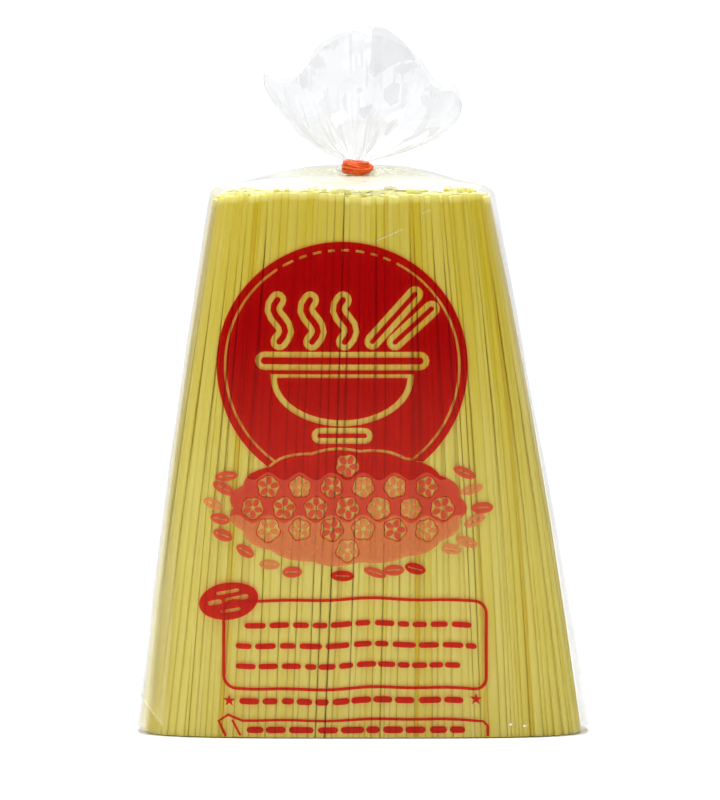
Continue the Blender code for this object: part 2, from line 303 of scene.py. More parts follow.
@dataclass(frozen=True)
class FilmFinish:
    """Thin clear plastic: a faint mirror face on and a strong one where it turns away.

    One attribute says where it looks whiter or greyer: partly its own milkiness where it lies in
    several layers, and partly painted reflection. Another says where a painted reflection of the
    noodles close behind such layers colours it. A painted grey sheen shows where it turns away, it
    has painted colours of its own above the noodles, painted highlights mark creases and glints on
    the front, and both the mirror and the painted whiteness fade out at the foot.
    """

    name: str = "film"
    tint: tuple = (0.985, 0.988, 0.99, 1.0)
    mirror: tuple = (0.97, 0.975, 0.985, 1.0)
    # Whitish and grey colours of the film: partly its own milkiness, partly painted reflection.
    milk_and_reflection: tuple = (0.52, 0.52, 0.55, 1.0)
    top_milk_and_reflection: tuple = (0.535, 0.537, 0.50, 1.0)
    rim_reflection_grey: tuple = (0.34, 0.34, 0.35, 1.0)
    # Painted reflection of the noodles close behind the film, on the walls and above them.
    noodle_reflection_colour: tuple = (0.77, 0.70, 0.40, 1.0)
    top_noodle_reflection_colour: tuple = (0.51, 0.50, 0.32, 1.0)
    seen_turned: tuple = (0.0, 0.3)
    bright: tuple = (0.98, 0.98, 0.92, 1.0)
    face_share: float = 0.003
    edge_share: float = 0.85
    edge_power: float = 4.2
    haze: float = 0.0015
    # How strongly a painted sheen whitens or greys the film where it turns away from view.
    turned_sheen: float = 0.9
    turned_power: float = 2.6
    roughness: float = 0.06
    body_roughness: float = 0.35
    ripple_scale: tuple = (170.0, 170.0, 60.0)
    ripple_depth: float = 0.1 * MM
    foot_heights: tuple = (0.3 * MM, 3.0 * MM)
    top_heights: tuple = (219.5 * MM, 222 * MM)
    rim_turned: tuple = (0.82, 0.97)
    wall_turned: float = 0.12
    sleeve_share: float = 0.11
    sleeve_edge: float = 79.5 * MM
    sleeve_lean: float = 0.075
    sleeve_heights: tuple = (55 * MM, 105 * MM)
    fold_edge: float = 76.3 * MM
    fold_lean: float = 0.84
    # Painted highlights along creases and painted glints on the front.
    glint_share: float = 0.9
    marks: tuple = (PaintedFilmGlint((5.4, 200.4), (15.8, 205.0), 0.35, 0.3),
                    PaintedFilmGlint((23.4, 211.0), (27.0, 213.0), 0.35, 0.25),
                    PaintedFilmGlint((58.6, 5.6), (59.8, 5.7), 0.8, 1.0),
                    PaintedFilmGlint((64.1, 4.9), (65.3, 5.1), 0.8, 1.0))

    def material(self) -> bpy.types.Material:
        """Build the material: clear, mirror and whitish layers mixed, the last partly milky film and partly
        painted reflection, sheen and highlights.
        """
        made, graph = new_material(f"clear_{self.name}")
        place = graph.place()
        ripple = graph.noise(graph.scaled(place, self.ripple_scale), 1.0, 2.0)
        normal = graph.bump(ripple, self.ripple_depth, 0.2)
        facing = graph.node("ShaderNodeLayerWeight", None, {"Blend": 0.5, "Normal": normal}, "Facing")
        _, _, height = graph.axes(place)
        foot = height.between(*self.foot_heights)
        shine = (facing ** self.edge_power * self.edge_share + self.face_share) * foot
        mirror = graph.surface({"Base Color": self.mirror, "Metallic": 1.0,
                                "Roughness": self.roughness, "Normal": normal})
        film = graph.blend(shine, graph.clear(self.tint), mirror)
        cloud = graph.noise(place, 40.0, 2.0)
        above = height.between(*self.top_heights)
        share = above * (1.0 - self.wall_turned) + self.wall_turned
        # Painted sheen where the film turns away, strong above the noodles and faint on the walls.
        turned = facing ** self.turned_power * share * self.turned_sheen
        # Painted highlights: creases and glints whitened toward a bright colour.
        mark = self._painted_glints(graph, place)
        loose = facing.between(*self.seen_turned).either(above)
        # Whitening: partly layered film, partly painted reflection, with the doubled strip at the lower left.
        layers = graph.attribute("milk_and_reflection") * (cloud * 0.6 + 0.7) * loose + self._sleeve(graph, place)
        faint = cloud.between(0.4, 0.8) * 0.003 + mark * self.glint_share + self.haze
        white = ((layers + turned) * foot + faint).clamp()
        # Painted grey outline reflection where the film above the noodles turns right away.
        rim = facing.between(*self.rim_turned)
        plain = graph.mix(above, self.milk_and_reflection, graph.mix(rim, self.top_milk_and_reflection, self.rim_reflection_grey))
        # Painted yellow reflection of the noodles behind, where the attribute says.
        noodle_reflection_colour = graph.mix(above, self.noodle_reflection_colour, self.top_noodle_reflection_colour)
        colour = graph.mix(mark, graph.mix(graph.attribute("noodle_reflection"), plain, noodle_reflection_colour), self.bright)
        body = graph.surface({"Base Color": colour, "Roughness": self.body_roughness})
        graph.output(graph.blend(white, film, body))
        return made

    def _sleeve(self, graph: Graph, place: Value) -> Value:
        """The doubled strip up the lower left of the front, whiter as layered film, with its corner folded
        back and a painted highlight along the fold.
        """
        across, back, up = graph.axes(place)
        inside = (across * -1.0 + up * self.sleeve_lean - self.sleeve_edge).between(0.0, 0.5 * MM)
        past_fold = across + up * self.fold_lean + self.fold_edge
        fold = past_fold.between(-0.1 * MM, 0.3 * MM)
        height = 1.0 - up.between(*self.sleeve_heights)
        # Painted highlight along the fold.
        crease = fold * (1.0 - past_fold.between(0.5 * MM, 1.1 * MM)) * 2.0
        front = (back * -1.0).between(0.0, 2.0 * MM)
        return inside * (fold + crease) * height * front * self.sleeve_share

    def _painted_glints(self, graph: Graph, place: Value) -> Value:
        """The painted highlights along creases and the painted glints on the front."""
        across, back, up = graph.axes(place)
        front = (back * -1.0).between(0.0, 2.0 * MM)
        total = front * 0.0
        for mark in self.marks:
            run = Vector(mark.end) - Vector(mark.start)
            way, width = run.normalized(), mark.width * MM
            from_x, from_z = across - mark.start[0] * MM, up - mark.start[1] * MM
            along = from_x * way.x + from_z * way.y
            off = from_z * way.x - from_x * way.y
            ends = along.between(-width, width) * (along * -1.0 + run.length * MM).between(-width, width)
            line = off.between(-width, 0.0) * (off * -1.0).between(-width, 0.0)
            total = total + ends * line * front * mark.strength
        return total


class InkTone(Enum):
    """The strengths at which the red ink is printed: solid, and two screened tints."""

    SOLID = "solid"
    MIDDLE = "middle"
    LIGHT = "light"


@dataclass(frozen=True)
class InkFinish:
    """Translucent red ink on the film: what lies behind darkens it."""

    tone: InkTone
    body: tuple
    low_body: tuple
    filter: tuple
    cover: float
    mottle: float = 0.16
    roughness: float = 0.42
    gloss: float = 0.03
    heights: tuple = (100 * MM, 170 * MM)

    def material(self) -> bpy.types.Material:
        """Build the material: a red filter mixed with a thin red coat, slightly uneven."""
        made, graph = new_material(f"red_ink_{self.tone.value}")
        place = graph.place()
        share = ((graph.noise(place, 180.0, 3.0) - 0.5) * self.mottle + self.cover).clamp()
        _, _, height = graph.axes(place)
        colour = graph.mix(height.between(*self.heights), self.low_body, self.body)
        coat = graph.surface({"Base Color": colour, "Roughness": self.roughness,
                              "Specular IOR Level": self.gloss})
        graph.output(graph.blend(share, graph.clear(self.filter), coat))
        return made


INKS = (
    InkFinish(InkTone.SOLID, body=(0.37, 0.005, 0.008, 1.0), low_body=(0.68, 0.07, 0.045, 1.0),
              filter=(0.815, 0.035, 0.035, 1.0), cover=0.21),
    InkFinish(InkTone.MIDDLE, body=(0.66, 0.08, 0.055, 1.0), low_body=(0.66, 0.08, 0.055, 1.0),
              filter=(0.88, 0.30, 0.24, 1.0), cover=0.45),
    InkFinish(InkTone.LIGHT, body=(0.72, 0.2, 0.1, 1.0), low_body=(0.72, 0.2, 0.1, 1.0),
              filter=(0.95, 0.62, 0.5, 1.0), cover=0.4),
)


@dataclass(frozen=True)
class RubberFinish:
    """Orange-red rubber, smooth, with paler stretch marks."""

    colour: tuple = (0.66, 0.072, 0.004, 1.0)
    pale: tuple = (0.94, 0.30, 0.07, 1.0)
    roughness: float = 0.36
    gloss: float = 0.2
    mark_scale: tuple = (500.0, 500.0, 1400.0)
    bump_depth: float = 0.05 * MM

    def material(self) -> bpy.types.Material:
        """Build the material, with marks that run level round the neck."""
        made, graph = new_material("orange_rubber")
        mark = graph.noise(graph.scaled(graph.place(), self.mark_scale), 1.0, 3.0)
        colour = graph.mix(mark.between(0.5, 0.8), self.colour, self.pale)
        rough = (mark - 0.5) * 0.2 + self.roughness
        normal = graph.bump(mark, self.bump_depth, 0.4)
        graph.output(graph.surface({"Base Color": colour, "Roughness": rough, "Normal": normal,
                                    "Specular IOR Level": self.gloss}))
        return made


@dataclass(frozen=True)
class FloorFinish:
    """Plain white studio floor."""

    colour: tuple = (0.79, 0.79, 0.79, 1.0)
    roughness: float = 0.8
    gloss: float = 0.1

    def material(self) -> bpy.types.Material:
        """Build the material."""
        made, graph = new_material("studio_floor")
        graph.output(graph.surface({"Base Color": self.colour, "Roughness": self.roughness,
                                    "Specular IOR Level": self.gloss}))
        return made


# ---------------------------------------------------------------- making meshes


def add_object(name: str, shape: bmesh.types.BMesh, *materials: bpy.types.Material) -> bpy.types.Object:
    """Turn a finished bmesh into a linked object at the origin.

    Args:
        name: the piece's name.
        shape: the geometry, which is freed.
        materials: the materials for its slots, in order.

    Returns:
        The new object.
    """
    mesh = bpy.data.meshes.new(name)
    shape.to_mesh(mesh)
    shape.free()
    mesh.shade_smooth()
    for material in materials:
        mesh.materials.append(material)
    made = bpy.data.objects.new(name, mesh)
    bpy.context.scene.collection.objects.link(made)
    return made


def wrapped_grid(columns: int, rows: int, place: Callable[[float, float], Vector],
                 wrap_rows: bool = False) -> bmesh.types.BMesh:
    """Map a grid to a surface that goes once round, and weld its seam.

    Args:
        columns: faces round the surface.
        rows: faces from its first edge to its last.
        place: where a point goes, from its share round and its share along.
        wrap_rows: whether the last row meets the first one too.

    Returns:
        The surface, with its faces pointing out.
    """
    shape = bmesh.new()
    bmesh.ops.create_grid(shape, x_segments=columns, y_segments=rows, size=1.0)
    for corner in shape.verts:
        round_share = (corner.co.x + 1.0) / 2.0
        along_share = (corner.co.y + 1.0) / 2.0
        if round_share > 1.0 - 0.5 / columns:
            round_share = 0.0
        if wrap_rows and along_share > 1.0 - 0.5 / rows:
            along_share = 0.0
        corner.co = place(round_share, along_share)
    bmesh.ops.remove_doubles(shape, verts=shape.verts, dist=1e-7)
    bmesh.ops.recalc_face_normals(shape, faces=shape.faces)
    return shape


def cubic(a: float, b: float, c: float, d: float, share: float) -> float:
    """A smooth value between b and c, whose neighbours are a and d."""
    return 0.5 * (2 * b + (c - a) * share + (2 * a - 5 * b + 4 * c - d) * share ** 2
                  + (3 * b - a - 3 * c + d) * share ** 3)


def cubic_table(table: Sequence[tuple], share: float) -> float:
    """Read a smooth curve through a table of places and values."""
    last = max(i for i in range(len(table) - 1) if table[i][0] <= share or i == 0)
    span = table[last + 1][0] - table[last][0]
    part = min(max((share - table[last][0]) / span, 0.0), 1.0)
    near = [table[min(max(last + step, 0), len(table) - 1)][1] for step in (-1, 0, 1, 2)]
    return cubic(*near, part)


def ease(share: float) -> float:
    """A smooth step from 0 to 1."""
    share = min(max(share, 0.0), 1.0)
    return share * share * (3.0 - 2.0 * share)


# ---------------------------------------------------------------- the bundle


@dataclass
class BundleForm:
    """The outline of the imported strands: a rounded oblong, narrow and deep at the top."""

    length: float = 218 * MM
    base_width: float = 175.2 * MM
    base_shift: float = 0.4 * MM
    base_depth: float = 48 * MM
    top_width: float = 109.6 * MM
    top_depth: float = 60 * MM
    top_shift: float = -4.4 * MM
    bulge: float = 2.4 * MM
    roundness: float = 3.2
    steps: int = 1440
    base: list = field(init=False)
    top: list = field(init=False)
    girth: float = field(init=False)

    def __post_init__(self) -> None:
        """Work out both outlines as evenly spaced points."""
        self.base, self.girth = self._outline(self.base_width, self.base_depth, self.base_shift)
        self.top, _ = self._outline(self.top_width, self.top_depth, self.top_shift)

    def _outline(self, width: float, depth: float, shift: float) -> tuple[list, float]:
        """Evenly spaced points round one end, and the distance round it."""
        power = 2.0 / self.roundness
        raw = []
        fine = self.steps * 6
        for step in range(fine + 1):
            angle = TURN * step / fine
            across, back = math.cos(angle), math.sin(angle)
            x = 0.5 * width * math.copysign(abs(across) ** power, across) + shift
            y = 0.5 * depth * math.copysign(abs(back) ** power, back)
            raw.append(Vector((x, y, 0.0)))
        run = [0.0]
        for one, two in zip(raw, raw[1:]):
            run.append(run[-1] + (two - one).length)
        points = []
        index = 0
        for step in range(self.steps):
            wanted = run[-1] * step / self.steps
            while run[index + 1] < wanted:
                index += 1
            part = (wanted - run[index]) / max(run[index + 1] - run[index], 1e-12)
            points.append(raw[index].lerp(raw[index + 1], part))
        return points, run[-1]

    def point(self, round_share: float, height: float) -> Vector:
        """A point on the outline at a share of the way round and a height."""
        place = (round_share % 1.0) * self.steps
        index = int(place) % self.steps
        after = (index + 1) % self.steps
        part = place - int(place)
        low = self.base[index].lerp(self.base[after], part)
        high = self.top[index].lerp(self.top[after], part)
        rise = height / self.length
        spot = low.lerp(high, rise)
        half_width = (self.base_width + (self.top_width - self.base_width) * rise) / 2
        shift = self.base_shift + (self.top_shift - self.base_shift) * rise
        sideways = (spot.x - shift) / half_width
        spot.x += self.bulge * sideways * math.sin(math.pi * min(max(rise, 0.0), 1.0))
        spot.z = height
        return spot

    def outward(self, round_share: float, height: float) -> Vector:
        """The level direction that points straight out of the bundle there."""
        step = 8.0 / self.steps
        along = self.point(round_share + step, height) - self.point(round_share - step, height)
        return Vector((along.y, -along.x, 0.0)).normalized()


class StrandLay(Enum):
    """How a strand lies in the bundle: its wide face out, or edge on."""

    FLAT = "flat"
    EDGE = "edge"


@dataclass(frozen=True)
class StrandLooks:
    """What the noodles' material reads from one strand.

    Its tone, how dark its edges are (partly painted shade), where its grain starts, and its tip: 1
    for the outer row's and 2 for one further in.
    """

    tone: float
    edge: float
    origin: float
    tip: float


@dataclass(frozen=True)
class Placing:
    """How one strand of a row is laid: its width, the room it takes, and whether it is tucked in."""

    lay: StrandLay
    wide: float
    across: float
    tucked: bool


@dataclass
class Strands:
    """The noodles that show: rows of full-length strands, and the ends on top."""

    form: BundleForm
    seed: int = 11
    width: tuple = (1.8 * MM, 4.8 * MM)
    usual_width: float = 2.3 * MM
    thickness: float = 1.55 * MM
    gap: float = 0.07 * MM
    wide_gap: float = 0.9 * MM
    wide_gap_share: float = 0.07
    rows: int = 3
    row_pitch: tuple = (1.75 * MM, 2.2 * MM)
    row_offset: float = 0.37
    skin_clearance: float = 0.1 * MM
    depth_spread: float = 0.2
    turn: float = 3.5
    edge_share: float = 0.22
    right_edge_share: float = 0.3
    right_start: float = 0.84
    right_run: float = 0.06
    tuck_share: float = 0.3
    tuck_depth: float = 1.75 * MM
    foot: float = 0.35 * MM
    head: float = 218.9 * MM
    head_wave: float = 1.3 * MM
    head_wave_scale: tuple = (46.0, 30.0)
    head_spread: float = 0.65 * MM
    head_sides: float = 0.8 * MM
    tall_share: float = 0.06
    tall: float = 2.1 * MM
    back_drop: float = 4.0 * MM
    corner_drop: float = 3.2 * MM
    corner_power: int = 14
    # How strongly each strand's edges are darkened, partly as painted shade between strands.
    edge_line: tuple = (0.05, 0.8)
    grain_start: tuple = (0.0, 400.0)
    flat_tone: tuple = (0.36, 0.17)
    edge_on_shaded_tone: tuple = (0.6, 0.3)
    deeper_row_shade: float = 0.25
    bow: float = 0.25 * MM
    levels: tuple = (0.0, 0.2, 0.4, 0.6, 0.8, 0.986, 1.0)
    end_levels: tuple = (0.0, 0.84, 1.0)
    corner: float = 0.2
    end_pitch: tuple = (3.7 * MM, 1.85 * MM)
    end_inset: float = 0.8 * MM
    end_spread: tuple = (0.5, 0.25)
    end_turn: float = 9.0
    end_tone: tuple = (0.4, 0.22)
    # How strongly the ends' edges are darkened, partly as painted shade.
    end_edge: float = 0.3
    end_root: float = 16 * MM
    core_depth: float = 5.0 * MM
    core_drop: float = 9.0 * MM
    core_foot: float = 0.4 * MM
    core_around: int = 120
    tone: bmesh.types.BMLayerItem = field(init=False)
    side: bmesh.types.BMLayerItem = field(init=False)
    line: bmesh.types.BMLayerItem = field(init=False)
    tip: bmesh.types.BMLayerItem = field(init=False)
    grain: bmesh.types.BMLayerItem = field(init=False)

    def build(self) -> list[bpy.types.Object]:
        """Make the strands and the core under them.

        Returns:
            The joined strands, and the core.
        """
        draw = random.Random(self.seed)
        shape = bmesh.new()
        self.tone = shape.verts.layers.float.new("tone")
        self.side = shape.verts.layers.float.new("side")
        self.line = shape.verts.layers.float.new("line")
        self.tip = shape.verts.layers.float.new("tip")
        self.grain = shape.verts.layers.float_vector.new("grain")
        count = 0
        for row in range(self.rows):
            count += self._row(shape, draw, row)
        ends = self._ends(shape, draw)
        strands = add_object("noodle_strands", shape, NoodleFinish().material())
        strands.data.set_sharp_from_angle(angle=math.radians(50.0))
        LOG.info("strands: %d full length, %d ends on top", count, ends)
        core = self._core()
        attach(strands, "root")
        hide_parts("noodles")
        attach(core, "root")
        return [strands, core]

    def _head_height(self, spot: Vector, draw: random.Random) -> float:
        """How high a strand ends: in loose waves over the bundle, and lower at its corners and back."""
        scale_x, scale_y = self.head_wave_scale
        wave = noise.noise(Vector((spot.x * scale_x, spot.y * scale_y, 0.4))) * self.head_wave
        side = abs((spot.x - self.form.top_shift) / (self.form.top_width / 2))
        back = ease(spot.y / self.form.top_depth + 0.5)
        height = self.head + wave + self.head_sides * (side ** 2 - 0.4)
        height -= self.corner_drop * side ** self.corner_power + self.back_drop * back
        return height + draw.uniform(-self.head_spread, self.head_spread)

    def _row(self, shape: bmesh.types.BMesh, draw: random.Random, row: int) -> int:
        """Lay one row of strands round the bundle, the first of them against the film.

        The bundle is narrower at the top, so some strands lean in behind their neighbours there.
        """
        placings: list[Placing] = []
        place = 0.0
        while place < self.form.girth - self.width[0]:
            right = ease((place / self.form.girth - self.right_start) / self.right_run)
            chance = self.edge_share + self.right_edge_share * right
            lay = StrandLay.EDGE if draw.random() < chance else StrandLay.FLAT
            wide = draw.triangular(*self.width, self.usual_width)
            across = wide if lay is StrandLay.FLAT else self.thickness
            tucked = draw.random() < self.tuck_share and not (placings and placings[-1].tucked)
            gap = draw.uniform(0.0, self.wide_gap if draw.random() < self.wide_gap_share else self.gap)
            placings.append(Placing(lay, wide, across + gap, tucked))
            place += placings[-1].across
        foot_length = sum(placing.across for placing in placings)
        head_length = sum(placing.across for placing in placings if not placing.tucked)
        foot_place = head_place = 0.0
        offset = row * self.row_offset
        for placing in placings:
            across, tucked = placing.across, placing.tucked
            foot_share = (foot_place + across / 2) / foot_length + offset
            head_share = (head_place + (0.0 if tucked else across / 2)) / head_length + offset
            foot_place += across
            head_place += 0.0 if tucked else across
            low, high = (self.skin_clearance + row * pitch + draw.uniform(0.0, self.depth_spread) * MM
                         for pitch in self.row_pitch)
            high += self.tuck_depth if tucked else 0.0
            head = self._head_height(self.form.point(head_share, self.form.length), draw)
            if row and draw.random() < self.tall_share:
                head += self.tall
            turn = math.radians(draw.uniform(-self.turn, self.turn))
            self._strand(shape, draw, placing, (foot_share, head_share), (low, high),
                         (self.foot, head), turn, row)
        return len(placings)

    def _strand(self, shape: bmesh.types.BMesh, draw: random.Random, placing: Placing,
                shares: tuple, depths: tuple, heights: tuple, turn: float, row: int) -> None:
        """Add one strand from foot to head.

        Args:
            shape: what it is added to.
            draw: the seeded source of chance.
            placing: which face is out, and its width.
            shares: where its foot and its head stand, as shares of the way round.
            depths: how deep its foot and its head lie under the outline.
            heights: where it starts and ends.
            turn: how far it is turned on its own length.
            row: how many rows lie outside it.
        """
        flat = placing.lay is StrandLay.FLAT
        half_wide, half_thick = placing.wide / 2, self.thickness / 2
        if not flat:
            half_wide, half_thick = half_thick, half_wide
        bows = [draw.uniform(-self.bow, self.bow) for _ in range(2)]
        out = Matrix.Rotation(turn, 3, "Z") @ self.form.outward(sum(shares) / 2, self.form.length / 2)
        along = Vector((-out.y, out.x, 0.0))

        def line(share: float) -> Vector:
            """A point on its middle line."""
            place, depth, height = (low + (high - low) * share for low, high in (shares, depths, heights))
            arch = math.sin(math.pi * share)
            spot = self.form.point(place, height) - self.form.outward(place, height) * (depth + half_thick)
            return spot + along * bows[0] * arch - out * abs(bows[1]) * arch

        # Edge-on strands and deeper rows get a higher, darker tone: painted shade, with the warm light that
        # bounces between the noodles.
        usual, spread = self.flat_tone if flat else self.edge_on_shaded_tone
        tone = min(max(draw.gauss(usual + self.deeper_row_shade * row, spread), 0.0), 1.0)
        looks = StrandLooks(tone, draw.uniform(*self.edge_line), draw.uniform(*self.grain_start),
                            1.0 + min(row, 1))
        self._sweep(shape, line, out, along, (half_wide, half_thick), looks, self.levels)

    def _section(self, half_wide: float, half_thick: float) -> list[tuple[float, float]]:
        """The eight corners of a strand's cross-section, its corners cut."""
        cut = self.corner * min(half_wide, half_thick)
        wide, thick = half_wide, half_thick
        return [(wide, cut - thick), (wide, thick - cut), (wide - cut, thick), (cut - wide, thick),
                (-wide, thick - cut), (-wide, cut - thick), (cut - wide, -thick), (wide - cut, -thick)]

    def _sweep(self, shape: bmesh.types.BMesh, line: Callable[[float], Vector], out: Vector,
               along: Vector, halves: tuple[float, float], looks: StrandLooks, levels: tuple) -> None:
        """Extrude a strand's section from its foot to its head.

        Args:
            shape: what it is added to.
            line: its middle line, from a share of its length.
            out: the way its outer face points.
            along: the way its width runs.
            halves: half its width and half its thickness.
            looks: what the material reads from it.
            levels: where its sections are, as shares of its length.
        """
        corners = self._section(*halves)
        count = len(corners)
        foot = bmesh.ops.create_circle(shape, cap_ends=True, segments=count, radius=1.0)["verts"]
        loop = list(foot)
        for level in levels:
            if level:
                edges = [shape.edges.get((loop[i - 1], loop[i])) for i in range(count)]
                grown = bmesh.ops.extrude_edge_only(shape, edges=edges)["geom"]
                fresh = {item for item in grown if isinstance(item, bmesh.types.BMVert)}
                loop = [next(e.other_vert(v) for e in v.link_edges if e.other_vert(v) in fresh)
                        for v in loop]
            middle = line(level)
            for corner, (side, face) in zip(loop, corners):
                corner.co = middle + along * side + out * face
                corner[self.tone] = looks.tone
                corner[self.side] = side / halves[0]
                corner[self.line] = looks.edge
                corner[self.tip] = looks.tip if level == 1.0 else 0.0
                corner[self.grain] = (looks.origin + side / MM, face / MM, middle.z / MM + looks.origin)
        shape.faces.new(loop)
        every = {face for corner in foot for face in corner.link_faces}
        bmesh.ops.recalc_face_normals(shape, faces=list(self._whole(every)))

    @staticmethod
    def _whole(start: Iterable[bmesh.types.BMFace]) -> set:
        """Every face that hangs together with the given ones."""
        found = set(start)
        front = list(found)
        while front:
            face = front.pop()
            for edge in face.edges:
                for other in edge.link_faces:
                    if other not in found:
                        found.add(other)
                        front.append(other)
        return found

    def _ends(self, shape: bmesh.types.BMesh, draw: random.Random) -> int:
        """Stand the inner strands' ends on top, in uneven rows."""
        form = self.form
        inner = self.rows * self.row_pitch[1] + self.end_inset
        half_x = form.top_width / 2 - inner
        half_y = form.top_depth / 2 - inner
        pitch_x, pitch_y = self.end_pitch
        spread_x, spread_y = self.end_spread
        count = 0
        for row in range(int(2 * half_y / pitch_y)):
            for column in range(int(2 * half_x / pitch_x)):
                x = (column + 0.5 + 0.5 * (row % 2)) * pitch_x - half_x
                y = (row + 0.5) * pitch_y - half_y
                if abs(x / half_x) ** form.roundness + abs(y / half_y) ** form.roundness > 1.0:
                    continue
                x += draw.uniform(-spread_x, spread_x) * MM + form.top_shift
                y += draw.uniform(-spread_y, spread_y) * MM
                head = self._head_height(Vector((x, y, 0.0)), draw)
                angle = math.radians(draw.uniform(-self.end_turn, self.end_turn))
                along = Vector((math.cos(angle), math.sin(angle), 0.0))
                out = Vector((along.y, -along.x, 0.0))
                wide = draw.uniform(*self.width)
                low, high = Vector((x, y, form.length - self.end_root)), Vector((x, y, head))
                tone = min(max(draw.gauss(*self.end_tone), 0.0), 1.0)
                looks = StrandLooks(tone, self.end_edge, draw.uniform(*self.grain_start), 2.0)
                self._sweep(shape, partial(low.lerp, high), out, along, (wide / 2, self.thickness / 2),
                            looks, self.end_levels)
                count += 1
        return count

    def _core(self) -> bpy.types.Object:
        """A closed core behind the rows, so that no light passes between the strands."""
        form = self.form
        top = form.length - self.core_drop
        levels = ((self.core_foot, 0.0), (self.core_foot, 1.0), (top, 1.0), (top, 0.0))

        def place(round_share: float, along_share: float) -> Vector:
            """A point on the core: the middle of its foot, its wall, or the middle of its top."""
            height, spread = levels[round(along_share * (len(levels) - 1))]
            out = form.outward(round_share, height)
            edge = form.point(round_share, height) - out * self.core_depth
            middle = Vector((form.top_shift * height / form.length, 0.0, height))
            return middle.lerp(edge, spread)

        shape = wrapped_grid(self.core_around, len(levels) - 1, place)
        core = add_object("noodle_core", shape, CoreFinish().material())
        core.data.set_sharp_from_angle(angle=math.radians(40.0))
        return core


# ---------------------------------------------------------------- the film


# The frill's mouth, right round from the right-hand side: how far right and back of the neck
# its edge lies there, and how high it stands above the neck (millimetres).
MOUTH = (
    (42, 1, 23), (39, 10, 30), (31, 11, 32), (23, 18, 42), (12, 19, 48),
    (5, 12, 49), (-4, 19, 51), (-15, 18, 46), (-21, 10, 36), (-29, 6, 33),
    (-37, 0, 35), (-28, -7, 32), (-22, -12, 37), (-15, -18, 46), (-5, -20, 52),
    (7, -19, 56), (17, -18, 50.5), (24, -12, 41), (30, -10, 31), (38, -9, 29),
)


@dataclass(frozen=True)
class Facet:
    """A panel of the frill's front painted greyer than the rest, as a reflection of darker surroundings.

    Its corners are given across and up in millimetres, as they show from the front.
    """

    milk_and_reflection: float
    corners: tuple

    def holds(self, across: float, up: float) -> bool:
        """Whether a place lies in the panel."""
        inside = False
        for (x, z), (next_x, next_z) in zip(self.corners, self.corners[1:] + self.corners[:1]):
            if (z > up) != (next_z > up) and across < x + (up - z) * (next_x - x) / (next_z - z):
                inside = not inside
        return inside


# Panels of painted reflection on the frill's front.
FACETS = (
    Facet(1.0, ((4, 282), (8, 283), (14, 279), (20, 273), (22, 269.5), (16.5, 269.5), (11, 267),
                (6, 263.5), (4.5, 262.5), (2.5, 265.5), (3.5, 271))),
    Facet(0.8, ((13, 267), (21, 269), (22, 267), (16, 263.5), (13.5, 264.5))),
    Facet(0.8, ((8.5, 257.5), (12, 260.5), (15, 260), (14, 252.5), (11, 251), (8.5, 254))),
    Facet(0.5, ((16, 260.5), (18, 260), (17, 251), (15, 249.5), (15.5, 256))),
    Facet(0.5, ((23, 255), (25.5, 255.5), (28, 251.5), (27, 249.5), (23.5, 252))),
    Facet(0.5, ((28, 260.5), (32, 260), (29.5, 257.5), (24.5, 257.5))),
    Facet(0.6, ((13.5, 235), (17, 238), (27, 243), (31, 243), (29.5, 240.5), (19, 235), (15, 233))),
    Facet(0.5, ((21, 233), (32, 240), (32.5, 237.5), (23, 232))),
    Facet(0.5, ((34.5, 240.5), (39, 249.5), (40, 252.5), (40, 248), (36, 241))),
    Facet(0.7, ((-17, 274.5), (-15.5, 277.5), (-12, 280), (-9.5, 277.5), (-9.5, 275), (-11.5, 273.5),
                (-16, 273.5))),
    Facet(0.8, ((-20, 268), (-18, 272), (-15.5, 269.5), (-14, 266), (-19.5, 266))),
    Facet(0.8, ((-25, 264), (-23.5, 266), (-21.5, 264.5), (-22, 259), (-24, 258), (-25, 260))),
    Facet(0.5, ((-32, 252.5), (-29, 251), (-21, 241), (-10, 232), (-13, 232), (-23, 239), (-30, 248.5))),
    Facet(0.3, ((-4, 276.5), (0, 278), (2, 275), (0.5, 272), (-4, 271.5), (-5.5, 273.5))),
    Facet(1.0, ((-1.5, 250.5), (4, 251.5), (3, 249), (0.5, 246), (-1, 247.5))),
    Facet(0.7, ((-2.5, 257.5), (-0.5, 258.5), (0, 257), (-2, 255.5))),
    Facet(0.35, ((-18, 252.5), (-14.5, 255), (-10, 246), (-7, 235.5), (-10.5, 240.5), (-14.5, 247))),
)


@dataclass
class Crumple:
    """Flat panels that meet in creases, as in crushed film: zigzags across several directions."""

    size: float
    seed: int
    count: int = 4
    softness: float = 0.07
    folds: list = field(init=False)

    def __post_init__(self) -> None:
        """Draw the directions and offsets of the folds."""
        draw = random.Random(self.seed)
        self.folds = []
        for _ in range(self.count):
            direction = Vector([draw.gauss(0.0, 1.0) for _ in range(3)]).normalized()
            self.folds.append((direction, draw.uniform(0.0, 2.0)))

    def height(self, place: Vector) -> float:
        """How far a point is pushed out, from about -0.5 to 0.5."""
        total = 0.0
        for direction, offset in self.folds:
            phase = (place.dot(direction) / self.size + offset) % 2.0 - 1.0
            total += math.sqrt(phase * phase + self.softness ** 2) - 0.5
        return total / self.count

    def shade(self, place: Vector) -> float:
        """A number from 0 to 1 that is the same all over one panel."""
        total = 0.0
        for index, (direction, offset) in enumerate(self.folds):
            total += math.floor(place.dot(direction) / self.size + offset) * (0.618 + 0.37 * index)
        return total % 1.0


